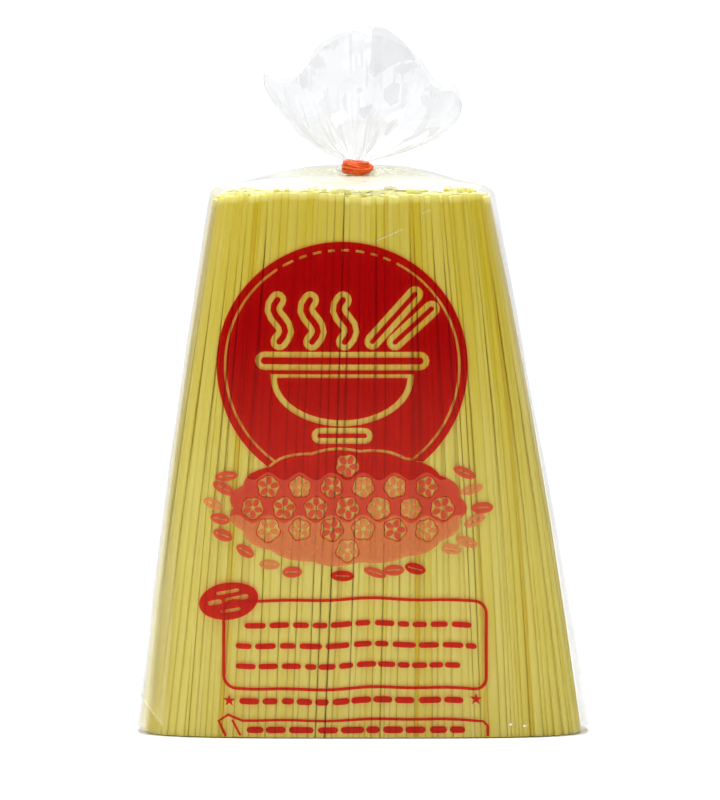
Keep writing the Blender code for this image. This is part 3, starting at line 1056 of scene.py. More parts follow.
@dataclass
class FilmBag:
    """The clear bag: base, sides, shoulder, gathered neck and frill, in thin film.

    It is one film. Its mesh is in two pieces, which meet unseen under the rubber band.
    """

    form: BundleForm
    body_around: int = 336
    frill_around: int = 480
    thickness: float = 0.06 * MM
    face_gap: float = 0.5 * MM
    left_gap: tuple = ((0, 3.6), (10, 3.7), (33, 2.7), (53, 2.5), (69, 2.2), (93, 1.9), (133, 1.3),
                       (174, 1.3), (208, 1.5), (218, 1.5))
    right_gap: tuple = ((0, 3.3), (10, 3.5), (33, 3.2), (53, 2.5), (69, 2.0), (93, 1.7), (133, 0.9),
                        (174, 1.4), (208, 1.9), (218, 1.9))
    base_height: float = 0.1 * MM
    base_round: float = 4.2 * MM
    face_round: float = 0.5 * MM
    wall_crease: float = 0.7
    side_top: float = 214.8 * MM
    front_top: float = 220.4 * MM
    side_rise: tuple = ((0, 214.8), (0.015, 216.4), (0.05, 217.7), (0.1, 218.5), (0.2, 219.9),
                        (0.34, 222.0), (0.45, 223.7), (0.56, 225.2), (0.7, 226.6), (0.82, 227.1),
                        (0.9, 226.7), (0.95, 225.3), (1, 222.9))
    front_rise: tuple = ((0, 220.4), (0.03, 221.3), (0.1, 222.1), (0.2, 222.6), (0.34, 223.1),
                         (0.5, 223.5), (0.7, 223.9), (0.84, 223.9), (0.92, 223.4), (1, 222.9))
    neck_x: float = -2 * MM
    neck_radius: float = 3.4 * MM
    neck_bottom: float = 222.9 * MM
    neck_top: float = 229.2 * MM
    gathers: int = 23
    gather_depth: float = 0.07
    shoulder_pleat: float = 0.2 * MM
    shoulder_crumple: float = 1.2 * MM
    # How far the shoulder, its crumples below the neck and the loose side strips whiten, partly as milky film
    # and partly as painted reflection, and how much painted noodle reflection tints them.
    shoulder_milk_and_reflection: float = 0.05
    shoulder_noodle_reflection: float = 0.04
    crumple_reflection: float = 0.13
    crumple_noodle_reflection: float = 0.6
    crumple_shift: float = 4 * MM
    crumple_full: float = 14 * MM
    crumple_fade: float = 12 * MM
    gap_milk_and_reflection: float = 0.13
    facet_reflection_grey: float = 0.2
    sight: float = 0.114
    flare_power: float = 1.9
    rise_power: float = 1.15
    frill_pleat: float = 0.2
    frill_panels: float = 4.2
    frill_small_panels: float = 1.2
    body_rows: tuple = (4, 5, 64, 34, 3)
    frill_rows: tuple = (3, 72)
    panels: Crumple = field(default_factory=lambda: Crumple(13 * MM, 4))
    small_panels: Crumple = field(default_factory=lambda: Crumple(5.5 * MM, 9))
    wall_panels: Crumple = field(default_factory=lambda: Crumple(24 * MM, 2))
    outer: BVHTree = field(init=False)

    def build(self) -> list[bpy.types.Object]:
        """Make the film, a little thicker than a real one so that it holds as a wall.

        Returns:
            The body and the frill.
        """
        body_zones = (self._base, self._turn, self._side, self._shoulder, self._neck)
        body = self._loft(self.body_around, body_zones, self.body_rows)
        self.outer = BVHTree.FromBMesh(body)
        frill = self._loft(self.frill_around, (self._collar, self._frill), self.frill_rows)
        pieces = []
        # The frill's grey is painted reflection of darker surroundings.
        grey = (0.54, 0.54, 0.56, 1.0)
        finishes = (FilmFinish("film_body"),
                    FilmFinish("film_frill", milk_and_reflection=grey, top_milk_and_reflection=grey, rim_reflection_grey=grey, face_share=0.03,
                               edge_share=0.3, turned_sheen=0.4))
        for shape, finish in zip((body, frill), finishes):
            name = finish.name
            bmesh.ops.solidify(shape, geom=shape.faces[:], thickness=self.thickness)
            self._mark_milk_and_reflection(shape, shape is frill)
            film = add_object(name, shape, finish.material())
            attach(film, "root")
            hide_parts("bag")
            LOG.info("%s: %d faces", name, len(film.data.polygons))
            pieces.append(film)
        return pieces

    @staticmethod
    def _loft(around: int, zones: Sequence[Callable[[float, float], Vector]],
              counts: Sequence[int]) -> bmesh.types.BMesh:
        """Loft a run of zones that meet.

        Args:
            around: faces round the film.
            zones: each gives a point of its zone from the share round and the share along it.
            counts: the rows of faces in each zone.

        Returns:
            The film's surface.
        """
        rows = sum(counts)

        def place(round_share: float, along_share: float) -> Vector:
            """A point of the zone that the row belongs to."""
            row = round(along_share * rows)
            for zone, count in zip(zones, counts):
                if row <= count:
                    break
                row -= count
            return zone(round_share, row / count)

        return wrapped_grid(around, rows, place)

    def _mark_milk_and_reflection(self, shape: bmesh.types.BMesh, is_frill: bool) -> None:
        """Mark how much the film whitens, partly from its layers and partly as painted reflection, and how
        much a painted reflection of the noodles behind colours it.
        """
        milk_and_reflection = shape.verts.layers.float.new("milk_and_reflection")
        noodle_reflection = shape.verts.layers.float.new("noodle_reflection")
        edges: dict[int, tuple[float, float]] = {}
        for corner in shape.verts:
            x, _, z = corner.co
            if is_frill:
                corner[milk_and_reflection] = self._frill_reflection(corner.co)
            elif z > self.front_top:
                corner[milk_and_reflection], corner[noodle_reflection] = self._shoulder_milk_and_reflection(corner.co)
            else:
                level = round(z / MM)
                if level not in edges:
                    edges[level] = (self._wall(0.5, z).x, self._wall(0.0, z).x)
                corner[milk_and_reflection], corner[noodle_reflection] = self._wall_milk_and_reflection(x, z, *edges[level])

    def _shoulder_milk_and_reflection(self, place: Vector) -> tuple[float, float]:
        """The whitening and the painted noodle reflection on the shoulder: faint, with patches of painted
        reflection where it crumples below the neck.
        """
        away = math.hypot(place.x - self.neck_x + self.crumple_shift, place.y * 0.55)
        near = (1.0 - ease((away - self.crumple_full) / self.crumple_fade)) * ease(-place.y / (4 * MM))
        patch = ease((self.small_panels.shade(place) - 0.4) / 0.1)
        return (self.shoulder_milk_and_reflection + self.crumple_reflection * near * patch,
                self.shoulder_noodle_reflection + self.crumple_noodle_reflection * near * patch)

    def _wall_milk_and_reflection(self, x: float, z: float, left: float, right: float) -> tuple[float, float]:
        """The whitening, partly layered film and partly painted reflection, and the painted noodle reflection
        at a place on the sides, between the film's two edges there.
        """
        from_left = (x - left) / (cubic_table(self.left_gap, z / MM) * MM)
        from_right = (right - x) / (cubic_table(self.right_gap, z / MM) * MM)
        if from_left < from_right:
            noodle_reflection = ease((from_left - 0.05) / 0.8)
            loose = 1.0 - ease((from_left - 0.9) / 0.7)
            return self.gap_milk_and_reflection * (1.0 + 2.0 * noodle_reflection) * loose, noodle_reflection
        noodle_reflection = 0.3 * ease((from_right - 0.5) / 0.5)
        loose = (1.0 - ease((from_right - 0.85) / 0.4)) * (1.0 - 0.7 * ease((z - 195 * MM) / (18 * MM)))
        return self.gap_milk_and_reflection * (1.0 + 1.4 * noodle_reflection) * loose, noodle_reflection

    def _frill_reflection(self, place: Vector) -> float:
        """How grey a place on the frill is painted, as reflection: by panels in front, and by chance at the
        back.
        """
        shade = self.panels.shade(place)
        # At the back, painted reflection in random panels.
        if place.y > 0.0:
            return self.facet_reflection_grey * (0.3 * ease((shade - 0.62) / 0.1) + 0.04)
        across, up = place.x / MM, (place.z + self.sight * place.y) / MM
        grey = max((facet.milk_and_reflection for facet in FACETS if facet.holds(across, up)), default=0.0)
        # Painted streaks of reflection radiating from the neck, and fine ones over the frill.
        angle = math.atan2(place.y, place.x - self.neck_x)
        streak = noise.noise(Vector((angle * 7.0, (place.z - self.neck_top) * 9.0, 2.0)))
        low = 1.0 - ease((place.z - self.neck_top) / (34 * MM))
        fine = noise.noise(Vector((angle * 13.0 + across * 0.06, (place.z - self.neck_top) * 60.0, 6.0)))
        streak = max(0.9 * low * ease((streak - 0.1) / 0.25), 0.55 * ease((fine - 0.22) / 0.15))
        return self.facet_reflection_grey * max(grey, 0.1 * shade, streak)

    def front(self, x: float, z: float) -> Vector | None:
        """The point of the film's outer face straight behind a place seen from the front."""
        hit, _, _, _ = self.outer.ray_cast(Vector((x, -0.2, z)), Vector((0.0, 1.0, 0.0)))
        return hit

    def _gap(self, round_share: float, height: float) -> float:
        """How far the film stands off the strands: tight on the faces, loose at the sides."""
        across = math.cos(TURN * round_share)
        table = self.right_gap if across > 0.0 else self.left_gap
        loose = cubic_table(table, height / MM) * MM
        return self.face_gap + (loose - self.face_gap) * abs(across) ** 5

    def _wall(self, round_share: float, height: float) -> Vector:
        """A point of the film round the strands, with faint creases."""
        spot = self.form.point(round_share, height)
        out = self.form.outward(round_share, height)
        loose = 0.35 + 0.45 * abs(math.cos(TURN * round_share)) ** 4
        crease = self.wall_panels.height(spot) * self.wall_crease * loose * MM
        return spot + out * (self._gap(round_share, height) + crease)

    def _base(self, round_share: float, share: float) -> Vector:
        """The base, flat under the strands."""
        rim = self._turn(round_share, 0.0)
        return Vector((0.0, 0.0, self.base_height)).lerp(rim, share)

    def _turn(self, round_share: float, share: float) -> Vector:
        """The rounded edge between the base and the sides, tighter on the faces."""
        side = abs(math.cos(TURN * round_share)) ** 3
        radius = self.face_round + (self.base_round - self.face_round) * side
        rim = self._wall(round_share, self.base_round)
        out = self.form.outward(round_share, 0.0)
        angle = 0.5 * math.pi * share
        spot = rim - out * radius * (1.0 - math.sin(angle))
        spot.z = self.base_height + (self.base_round - self.base_height) * (1.0 - math.cos(angle))
        return spot

    @staticmethod
    def _frontness(round_share: float) -> float:
        """How far a place belongs to the front, where the strands stand highest."""
        return ease(0.3 - 1.5 * math.sin(TURN * round_share))

    def _side(self, round_share: float, share: float) -> Vector:
        """The sides, from the rounded lower edge to the top of the strands."""
        top = self.side_top + (self.front_top - self.side_top) * self._frontness(round_share)
        return self._wall(round_share, self.base_round + (top - self.base_round) * share)

    def _shoulder(self, round_share: float, share: float) -> Vector:
        """The slack shoulder, in to the neck like a low tent."""
        start = self._side(round_share, 1.0)
        end = self._neck(round_share, 0.0)
        angle = TURN * round_share
        spot = start.lerp(end, share)
        front = self._frontness(round_share)
        side_height, front_height = cubic_table(self.side_rise, share), cubic_table(self.front_rise, share)
        spot.z = (side_height + (front_height - side_height) * front) * MM
        loose = math.sin(math.pi * min(share * 1.1, 1.0))
        fold = math.cos(self.gathers * angle + 1.7 * math.sin(3 * angle))
        spot.z += self.shoulder_pleat * fold * loose * share ** 2
        spot.z += self.shoulder_crumple * (self.panels.height(spot) + 0.1) * loose
        return spot

    def _ring(self, round_share: float, share: float) -> Vector:
        """A point on the gathered neck, at a share of its height."""
        angle = TURN * round_share
        fold = 1.0 + self.gather_depth * math.cos(self.gathers * angle)
        radius = self.neck_radius * fold * (0.93 + 0.07 * abs(2 * share - 1))
        height = self.neck_bottom + (self.neck_top - self.neck_bottom) * share
        return Vector((self.neck_x + radius * math.cos(angle), radius * math.sin(angle), height))

    def _neck(self, round_share: float, share: float) -> Vector:
        """The lower half of the neck."""
        return self._ring(round_share, share / 2)

    def _collar(self, round_share: float, share: float) -> Vector:
        """The upper half of the neck."""
        return self._ring(round_share, (1.0 + share) / 2)

    def _mouth(self, round_share: float) -> Vector:
        """The mouth's edge, from the top of the neck's middle."""
        place = round_share * len(MOUTH)
        fold = int(place)
        near = [MOUTH[(fold + step) % len(MOUTH)] for step in (-1, 0, 1, 2)]
        spot = Vector([cubic(*(corner[axis] for corner in near), place - fold) for axis in range(3)])
        return spot * MM

    def _frill(self, round_share: float, share: float) -> Vector:
        """The frill, flaring from the neck to its mouth in creased panels."""
        start = self._ring(round_share, 1.0)
        middle = Vector((self.neck_x, 0.0, self.neck_top))
        mouth = self._mouth(round_share)
        flare = 1.0 - (1.0 - share) ** self.flare_power
        angle = TURN * round_share
        spot = (start - middle).lerp(Vector((mouth.x, mouth.y, 0.0)), flare)
        spot.z = mouth.z * share ** self.rise_power
        out = Vector((spot.x, spot.y, -0.3 * spot.length)).normalized()
        fold = math.cos(self.gathers * angle + 1.3 * math.sin(2 * angle) + 1.5 * share)
        pleat = self.frill_pleat * fold * ease(share * 6.0) * (1.0 - ease((share - 0.08) / 0.3))
        grow = ease(share * 2.2) * (1.0 - 0.55 * share ** 4)
        crush = (self.frill_panels * self.panels.height(spot)
                 + self.frill_small_panels * self.small_panels.height(spot))
        push = pleat + crush * grow
        return middle + spot + out * push * MM


# ---------------------------------------------------------------- the rubber band


@dataclass
class RubberBand:
    """One rubber cord wound round the neck in slanting turns that cross over each other.

    Each turn has its lift in millimetres, its slopes to the right and to the back, and how many
    millimetres it stands further off the neck than the cord's radius says.
    """

    middle: Vector = field(default_factory=lambda: Vector((-2 * MM, 0.0, 227.0 * MM)))
    radius: float = 5.0 * MM
    thick: tuple = (0.78 * MM, 0.66 * MM)
    turns: tuple = ((1.75, -0.08, 0.02, -0.8), (1.2, -0.22, 0.05, -0.4), (0.6, -0.28, 0.08, 0.2),
                    (0.0, -0.1, 0.14, 0.7), (-0.6, 0.08, 0.18, 0.8), (-1.0, -0.04, 0.2, 0.0),
                    (-1.3, -0.04, 0.2, -0.8))
    start: float = 150.0
    along: int = 490
    sides: int = 10

    def build(self) -> bpy.types.Object:
        """Make the wound cord.

        Returns:
            The band.
        """
        shape = wrapped_grid(self.sides, self.along, self._place, wrap_rows=True)
        band = add_object("wound_rubber_band", shape, RubberFinish().material())
        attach(band, "root")
        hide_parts("rubber_band")
        LOG.info("band: %d turns", len(self.turns))
        return band

    def _line(self, share: float) -> Vector:
        """The cord's middle line, which passes from one turn to the next at the back."""
        place = (share % 1.0) * len(self.turns)
        turn, part = int(place), place % 1.0
        now, after = self.turns[turn], self.turns[(turn + 1) % len(self.turns)]
        blend = ease((part - 0.6) / 0.4)
        lift, side, back, off = (a + (b - a) * blend for a, b in zip(now, after))
        angle = TURN * place + math.radians(self.start)
        radius = self.radius + off * MM
        across, deep = radius * math.cos(angle), radius * math.sin(angle)
        return self.middle + Vector((across, deep, lift * MM + across * side + deep * back))

    def _place(self, side_share: float, along_share: float) -> Vector:
        """A point on the cord's skin."""
        step = 0.5 / self.along
        spot = self._line(along_share)
        ahead = (self._line((along_share + step) % 1.0) - self._line((along_share - step) % 1.0)).normalized()
        out = spot - self.middle
        out.z = 0.0
        out = (out - ahead * out.dot(ahead)).normalized()
        up = ahead.cross(out)
        angle = TURN * side_share
        return spot + up * self.thick[0] * math.cos(angle) + out * self.thick[1] * math.sin(angle)


# ---------------------------------------------------------------- the print


Loop = list[tuple[float, float]]


def round_loop(x: float, z: float, half_wide: float, half_high: float, turn: float = 0.0,
               points: int = 48) -> Loop:
    """An ellipse in millimetres, turned by an angle in degrees."""
    cos_turn, sin_turn = math.cos(math.radians(turn)), math.sin(math.radians(turn))
    loop = []
    for step in range(points):
        angle = TURN * step / points
        across, up = half_wide * math.cos(angle), half_high * math.sin(angle)
        loop.append((x + across * cos_turn - up * sin_turn, z + across * sin_turn + up * cos_turn))
    return loop


def ribbon_loop(line: Sequence[tuple[float, float]], width: float, cap: int = 6) -> Loop:
    """The outline of a stroke of one width with round ends, in millimetres."""
    points = [Vector(place) for place in line]
    sides: list[list[Vector]] = [[], []]
    for index, point in enumerate(points):
        ahead = (points[min(index + 1, len(points) - 1)] - points[max(index - 1, 0)]).normalized()
        left = Vector((-ahead.y, ahead.x)) * width / 2
        sides[0].append(point + left)
        sides[1].append(point - left)
    loop = list(sides[0])
    ends = ((points[-1], sides[0][-1]), (points[0], sides[1][0]))
    for part, (middle, start) in enumerate(ends):
        arm = start - middle
        for step in range(1, cap):
            angle = -math.pi * step / cap
            loop.append(middle + Matrix.Rotation(angle, 2) @ arm)
        if part == 0:
            loop.extend(reversed(sides[1]))
    return [(point.x, point.y) for point in loop]


def box_loop(left: float, right: float, low: float, high: float, corner: float,
             steps: int = 6) -> Loop:
    """A box with round corners, in millimetres, with points along its sides."""
    loop = []
    centres = ((right - corner, high - corner, 0), (left + corner, high - corner, 90),
               (left + corner, low + corner, 180), (right - corner, low + corner, 270))
    for index, (x, z, start) in enumerate(centres):
        for step in range(steps + 1):
            angle = math.radians(start + 90.0 * step / steps)
            loop.append((x + corner * math.cos(angle), z + corner * math.sin(angle)))
        after = centres[(index + 1) % 4]
        angle = math.radians(start + 90.0)
        x_end, z_end = after[0] + corner * math.cos(angle), after[1] + corner * math.sin(angle)
        x_start, z_start = loop[-1]
        count = max(int(max(abs(x_end - x_start), abs(z_end - z_start)) / 6.0), 1)
        for step in range(1, count):
            loop.append((x_start + (x_end - x_start) * step / count,
                         z_start + (z_end - z_start) * step / count))
    return loop


@dataclass(frozen=True)
class BowlDesign:
    """A steaming bowl with chopsticks, in millimetres from the middle of the disc."""

    steam_starts: tuple = (-25.0, -12.0, 1.0)
    steam_swing: float = 2.4
    steam_foot: float = 9.9
    steam_step: float = 2.1
    steam_width: float = 2.4
    sticks: tuple = (((12.0, 10.0), (20.5, 19.5), (29.0, 29.0)),
                     ((21.0, 9.7), (28.3, 16.4), (35.6, 23.1)))
    stick_width: float = 1.9
    rim: tuple = ((-31.0, 2.2), (-10.0, 2.2), (10.0, 2.2), (31.0, 2.2))
    rim_width: float = 2.8
    foot: tuple = ((-9.0, -27.8), (0.0, -27.8), (9.0, -27.8))
    foot_width: float = 1.8
    body_half: float = 26.0
    body_depth: float = 17.0
    body_top: float = -4.6

    def strokes(self) -> list[tuple[Sequence, float]]:
        """The strokes, each a line and its width: steam, chopsticks, rim and foot."""
        strokes = []
        for start in self.steam_starts:
            wave = [(start + self.steam_swing * math.sin(step * 0.75),
                     self.steam_foot + step * self.steam_step) for step in range(9)]
            strokes.append((wave, self.steam_width))
        strokes += [(stick, self.stick_width) for stick in self.sticks]
        return strokes + [(self.rim, self.rim_width), (self.foot, self.foot_width)]

    def body(self, grow: float) -> Loop:
        """The body under the rim, grown by a margin."""
        half, depth, top = self.body_half + grow, self.body_depth + grow, self.body_top
        loop = []
        for step in range(25):
            angle = math.pi + math.pi * step / 24
            loop.append((half * math.cos(angle), top + depth * math.sin(angle)))
        return loop + [(half, top + grow * 0.6), (-half, top + grow * 0.6)]


@dataclass
class Print:
    """The red print on the front: plain fields, rules and generic motifs, laid out in millimetres.

    Each row of bars is given as its left end, its right end and its height.
    """

    film: FilmBag
    bowl: BowlDesign = BowlDesign()
    lift: float = 0.035 * MM
    cell: float = 3.0 * MM
    disc: tuple = (-8.1, 150.0)
    disc_radius: float = 50.0
    ring_width: float = 2.9
    keyline_depth: float = 3.85
    bridges: tuple = (64.0, 71.0, 77.5, 85.0, 92.0, 98.5, 106.0, 113.0, 122.0)
    bridge_half: float = 1.6
    bay_gap: float = 1.1
    stroke_margin: float = 4.6
    body_margin: float = 2.4
    garland: tuple = (-6.0, 93.0)
    garland_half: tuple = (45.5, 22.5)
    garland_edge: tuple = (5.0, 5.2)
    scallop: float = 0.045
    seam_wave: float = 1.6
    blossom_pitch: float = 12.6
    blossom_radius: tuple = (4.3, 4.75)
    blossom_rim: float = 0.45
    row_pitch: float = 8.6
    under_leaves: tuple = (-31.0, -22.0, -2.0, 11.0, 18.5, 27.0)
    lowest_leaf: float = 61.5
    leaf_half: tuple = ((3.9, 4.8), (1.8, 2.4))
    rib_half: float = 2.6
    rib_width: float = 0.45
    tag: tuple = (-53.4, 55.6)
    tag_half: tuple = (12.2, 7.4)
    tag_turn: float = 17.0
    tag_rules: tuple = ((((-7.4, -1.7), (-3.6, -0.6)), 1.9), (((-0.6, 0.3), (7.0, 2.5)), 1.9),
                        (((-4.2, 2.6), (3.6, 4.9)), 1.3), (((-2.6, -4.6), (4.2, -2.7)), 1.3))
    panel: tuple = (-56.0, 50.0, 19.8, 56.8)
    panel_corner: float = 5.5
    panel_line: float = 1.25
    panel_rules: tuple = ((-46.0, 44.5, 46.2), (-49.5, 44.5, 37.8), (-49.5, 38.0, 29.6))
    panel_bar: float = 2.3
    foot_rules: tuple = (-48.0, 39.0, 15.4)
    foot_bar: float = 2.6
    stars: tuple = ((-53.2, 15.2), (45.3, 16.4))
    star_reach: tuple = (2.6, 1.05)
    box: tuple = ((50.0, 1.4), (50.0, 5.6), (48.2, 7.4), (30.0, 7.7), (0.0, 7.7), (-30.0, 7.7),
                  (-48.0, 7.4), (-53.6, 9.4), (-57.4, 6.8), (-54.8, 1.4))
    box_line: float = 1.1
    flap: tuple = ((-51.9, 7.2), (-50.4, 4.4), (-48.9, 1.6))
    flap_line: float = 0.9
    box_rules: tuple = (-45.0, 45.0, 3.6)
    box_bar: float = 2.7
    bar_lengths: tuple = (2.4, 7.5)
    bar_gaps: tuple = (0.5, 1.6)
    seed: int = 5

    def build(self) -> bpy.types.Object:
        """Lay every printed shape on the film.

        Returns:
            The print.
        """
        shape = bmesh.new()
        draw = random.Random(self.seed)
        self._disc(shape)
        self._garland(shape, draw)
        self._tag(shape)
        self._panel(shape, draw)
        self._foot_line(shape, draw)
        self._foot_box(shape, draw)
        self._drape(shape)
        ink = add_object("red_print", shape, *(finish.material() for finish in INKS))
        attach(ink, "root")
        LOG.info("print: %d faces", len(ink.data.polygons))
        return ink

    def _fill(self, shape: bmesh.types.BMesh, loops: Iterable[Loop], tone: InkTone = InkTone.SOLID) -> None:
        """Fill the outline of one printed shape, with any holes in it.

        Args:
            shape: what it is added to.
            loops: its outline first, and then its holes.
            tone: how strongly it is printed.
        """
        edges = []
        for loop in loops:
            corners = [shape.verts.new((x * MM, 0.0, z * MM)) for x, z in loop]
            edges += [shape.edges.new((corners[i - 1], corners[i])) for i in range(len(corners))]
        filled = bmesh.ops.triangle_fill(shape, use_beauty=True, edges=edges, normal=(0.0, -1.0, 0.0))
        slot = list(InkTone).index(tone)
        for item in filled["geom"]:
            if isinstance(item, bmesh.types.BMFace):
                item.material_index = slot

    def _disc(self, shape: bmesh.types.BMesh) -> None:
        """The big round field with its keyline and a bowl left bare in it."""
        x, z = self.disc
        ring_inner = self.disc_radius - self.ring_width
        field_rim = self.disc_radius - self.keyline_depth
        self._fill(shape, [self._cut_ring(self.disc_radius, ring_inner)])
        bare, kept = [], []
        for line, width in self.bowl.strokes():
            place = [(x + across, z + up) for across, up in line]
            bare.append(ribbon_loop(place, width + self.stroke_margin))
            kept.append(ribbon_loop(place, width))
        for angle in self.bridges:
            reach = [math.radians(angle + step) for step in (-self.bridge_half, 0.0, self.bridge_half)]
            bridge = [(x + ring_inner * math.cos(a), z + ring_inner * math.sin(a)) for a in reach]
            bridge += [(x + field_rim * math.cos(a), z + field_rim * math.sin(a)) for a in reversed(reach)]
            self._fill(shape, [bridge])
        body, edge = ([(x + a, z + b) for a, b in self.bowl.body(grow)] for grow in (0.0, self.body_margin))
        self._fill(shape, [self._cut_disc(field_rim), edge, *bare])
        for loop in (*kept, body):
            self._fill(shape, [loop])

    def _garland_edge(self, angle: float, grow: float) -> tuple[float, float]:
        """A point on the scalloped edge of the garland's field, grown by a margin."""
        x, z = self.garland
        scallop = 1.0 + self.scallop * abs(math.cos(7.5 * angle))
        return (x + (self.garland_half[0] * scallop + grow) * math.cos(angle),
                z + (self.garland_half[1] * scallop + grow) * math.sin(angle))

    def _meets(self, radius: float, grow: float) -> tuple[list, list]:
        """Where a circle round the disc's middle meets the garland's bay.

        Args:
            radius: the circle's radius.
            grow: how far the bay stands off the garland.

        Returns:
            The circle's points outside the bay, from left to right over the top, and the bay's
            points inside the circle, from right to left.
        """
        x, z = self.disc
        bay = [self._garland_edge(math.pi * step / 90, grow) for step in range(1, 90)]
        inside = [spot for spot in bay if math.hypot(spot[0] - x, spot[1] - z) < radius - 0.3]
        ends = [math.atan2(spot[1] - z, spot[0] - x) for spot in (inside[0], inside[-1])]
        start, stop = ends[1] % TURN, ends[0] % TURN
        sweep = (start - stop) % TURN
        arc = []
        for step in range(151):
            angle = start - sweep * step / 150
            arc.append((x + radius * math.cos(angle), z + radius * math.sin(angle)))
        return arc, inside

    def _cut_disc(self, radius: float) -> Loop:
        """A disc with the garland's bay cut out of it."""
        arc, bay = self._meets(radius, self.bay_gap)
        return arc + bay

    def _cut_ring(self, outer: float, inner: float) -> Loop:
        """A ring that stops at the garland's bay."""
        outside, _ = self._meets(outer, self.bay_gap)
        inside, _ = self._meets(inner, self.bay_gap)
        return outside + list(reversed(inside))

    def _seam(self, across: float, rows: float) -> float:
        """A wavy line between two of the garland's fields, some rows above its middle one."""
        x, z = self.garland
        wave = self.seam_wave * math.cos(TURN * (across - x) / self.blossom_pitch)
        return z + rows * self.row_pitch - wave

    def _fields(self) -> tuple[Loop, Loop, Loop]:
        """The outlines of the garland's three fields, from its top: they share two wavy seams."""
        edge = [self._garland_edge(TURN * (step / 180 - 0.25), 0.0) for step in range(180)]
        runs, seams = [], []
        for rows in (1.5, -0.5):
            above = [step for step, spot in enumerate(edge) if spot[1] > self._seam(spot[0], rows)]
            runs.append((above[0], above[-1]))
            (right, _), (left, _) = edge[above[0]], edge[above[-1]]
            places = [left + (right - left) * step / 70 for step in range(1, 70)]
            seams.append([(place, self._seam(place, rows)) for place in places])
        (high_right, high_left), (low_right, low_left) = runs
        upper = edge[high_right:high_left + 1] + seams[0]
        middle = (edge[low_right:high_right + 1] + seams[0][::-1] + edge[high_left:low_left + 1]
                  + seams[1])
        lower = edge[low_left:] + edge[:low_right + 1] + seams[1][::-1]
        return upper, middle, lower

    def _garland(self, shape: bmesh.types.BMesh, draw: random.Random) -> None:
        """Blossoms and leaves below the disc, on a field that is solid above and screened below."""
        x, z = self.garland
        wide, high = (half - edge for half, edge in zip(self.garland_half, self.garland_edge))
        holes: tuple[list, list, list] = ([], [], [])
        for row in range(-2, 3):
            for column in range(-4, 5):
                across = (column + 0.5 * (row % 2)) * self.blossom_pitch
                up = row * self.row_pitch
                if (across / wide) ** 2 + (up / high) ** 2 > 1.0:
                    continue
                spot = (x + across, z + up)
                radius = draw.uniform(*self.blossom_radius)
                spin = draw.uniform(0.0, 72.0)
                edge = self._blossom_edge(*spot, radius, spin)
                if row > 1:
                    holes[0].append(edge)
                else:
                    rim = self._blossom_edge(*spot, radius + self.blossom_rim, spin)
                    holes[1 if row >= 0 else 2].append(rim)
                    self._fill(shape, [rim, edge])
                tone = (InkTone.LIGHT, InkTone.MIDDLE)[draw.random() < 0.35]
                self._petals(shape, spot, radius, spin, tone)
        for field_edge, bare, tone in zip(self._fields(), holes, InkTone):
            self._fill(shape, [field_edge, *bare], tone)
        self._leaves(shape, draw)

    def _petals(self, shape: bmesh.types.BMesh, spot: tuple[float, float], radius: float,
                spin: float, tone: InkTone) -> None:
        """Five tinted petals in a bare blossom."""
        for petal in range(5):
            turn = spin + 72.0 * petal
            lean = math.radians(turn)
            middle = (spot[0] + 0.56 * radius * math.cos(lean), spot[1] + 0.56 * radius * math.sin(lean))
            self._fill(shape, [round_loop(*middle, radius * 0.38, radius * 0.26, turn, 16)], tone)

    def _leaves(self, shape: bmesh.types.BMesh, draw: random.Random) -> None:
        """Loose leaves beside and under the garland, clear of the tag and the panel."""
        x, z = self.garland
        wide, high = self.garland_half
        spots = []
        for leaf in range(12):
            side = -1 if leaf % 2 else 1
            angle = math.radians(-38.0 + 13.0 * (leaf // 2) + draw.uniform(-3.0, 3.0))
            reach = 1.13 + 0.05 * (leaf // 2 % 2)
            spot = (x + side * wide * reach * math.cos(angle), z + high * (reach + 0.1) * math.sin(angle))
            spots.append((spot, draw.uniform(-30.0, 30.0)))
        for across in self.under_leaves:
            rise = high * math.sqrt(1.0 - (across / wide) ** 2)
            spot = (x + across, z - rise - draw.uniform(4.4, 6.0))
            spots.append((spot, draw.uniform(-20.0, 20.0)))
        for spot, turn in spots:
            by_tag = math.hypot((spot[0] - self.tag[0]) / 18.5, (spot[1] - self.tag[1]) / 13.0) < 1.0
            if not by_tag and spot[1] > self.lowest_leaf:
                self._leaf(shape, spot, turn, draw)

    @staticmethod
    def _blossom_edge(x: float, z: float, radius: float, spin: float) -> Loop:
        """The five-lobed outline of a blossom."""
        loop = []
        for step in range(50):
            angle = TURN * step / 50
            reach = radius * (0.84 + 0.16 * abs(math.cos(2.5 * (angle - math.radians(spin)))))
            loop.append((x + reach * math.cos(angle), z + reach * math.sin(angle)))
        return loop

    def _leaf(self, shape: bmesh.types.BMesh, spot: tuple[float, float], turn: float,
              draw: random.Random) -> None:
        """A loose leaf, in one of the tints, with a bare midrib."""
        tones = (InkTone.LIGHT, InkTone.MIDDLE, InkTone.LIGHT, InkTone.MIDDLE, InkTone.SOLID)
        tone = tones[draw.randrange(len(tones))]
        lean = math.radians(turn)
        rib = [(spot[0] + step * math.cos(lean), spot[1] + step * math.sin(lean))
               for step in (-self.rib_half, 0.0, self.rib_half)]
        halves = [draw.uniform(*limits) for limits in self.leaf_half]
        self._fill(shape, [round_loop(*spot, *halves, turn, 24), ribbon_loop(rib, self.rib_width, 3)], tone)

    def _tag(self, shape: bmesh.types.BMesh) -> None:
        """The slanted oval tag with short bare rules in it."""
        x, z = self.tag
        holes = [ribbon_loop([(x + across, z + up) for across, up in line], width)
                 for line, width in self.tag_rules]
        self._fill(shape, [round_loop(x, z, *self.tag_half, self.tag_turn), *holes])

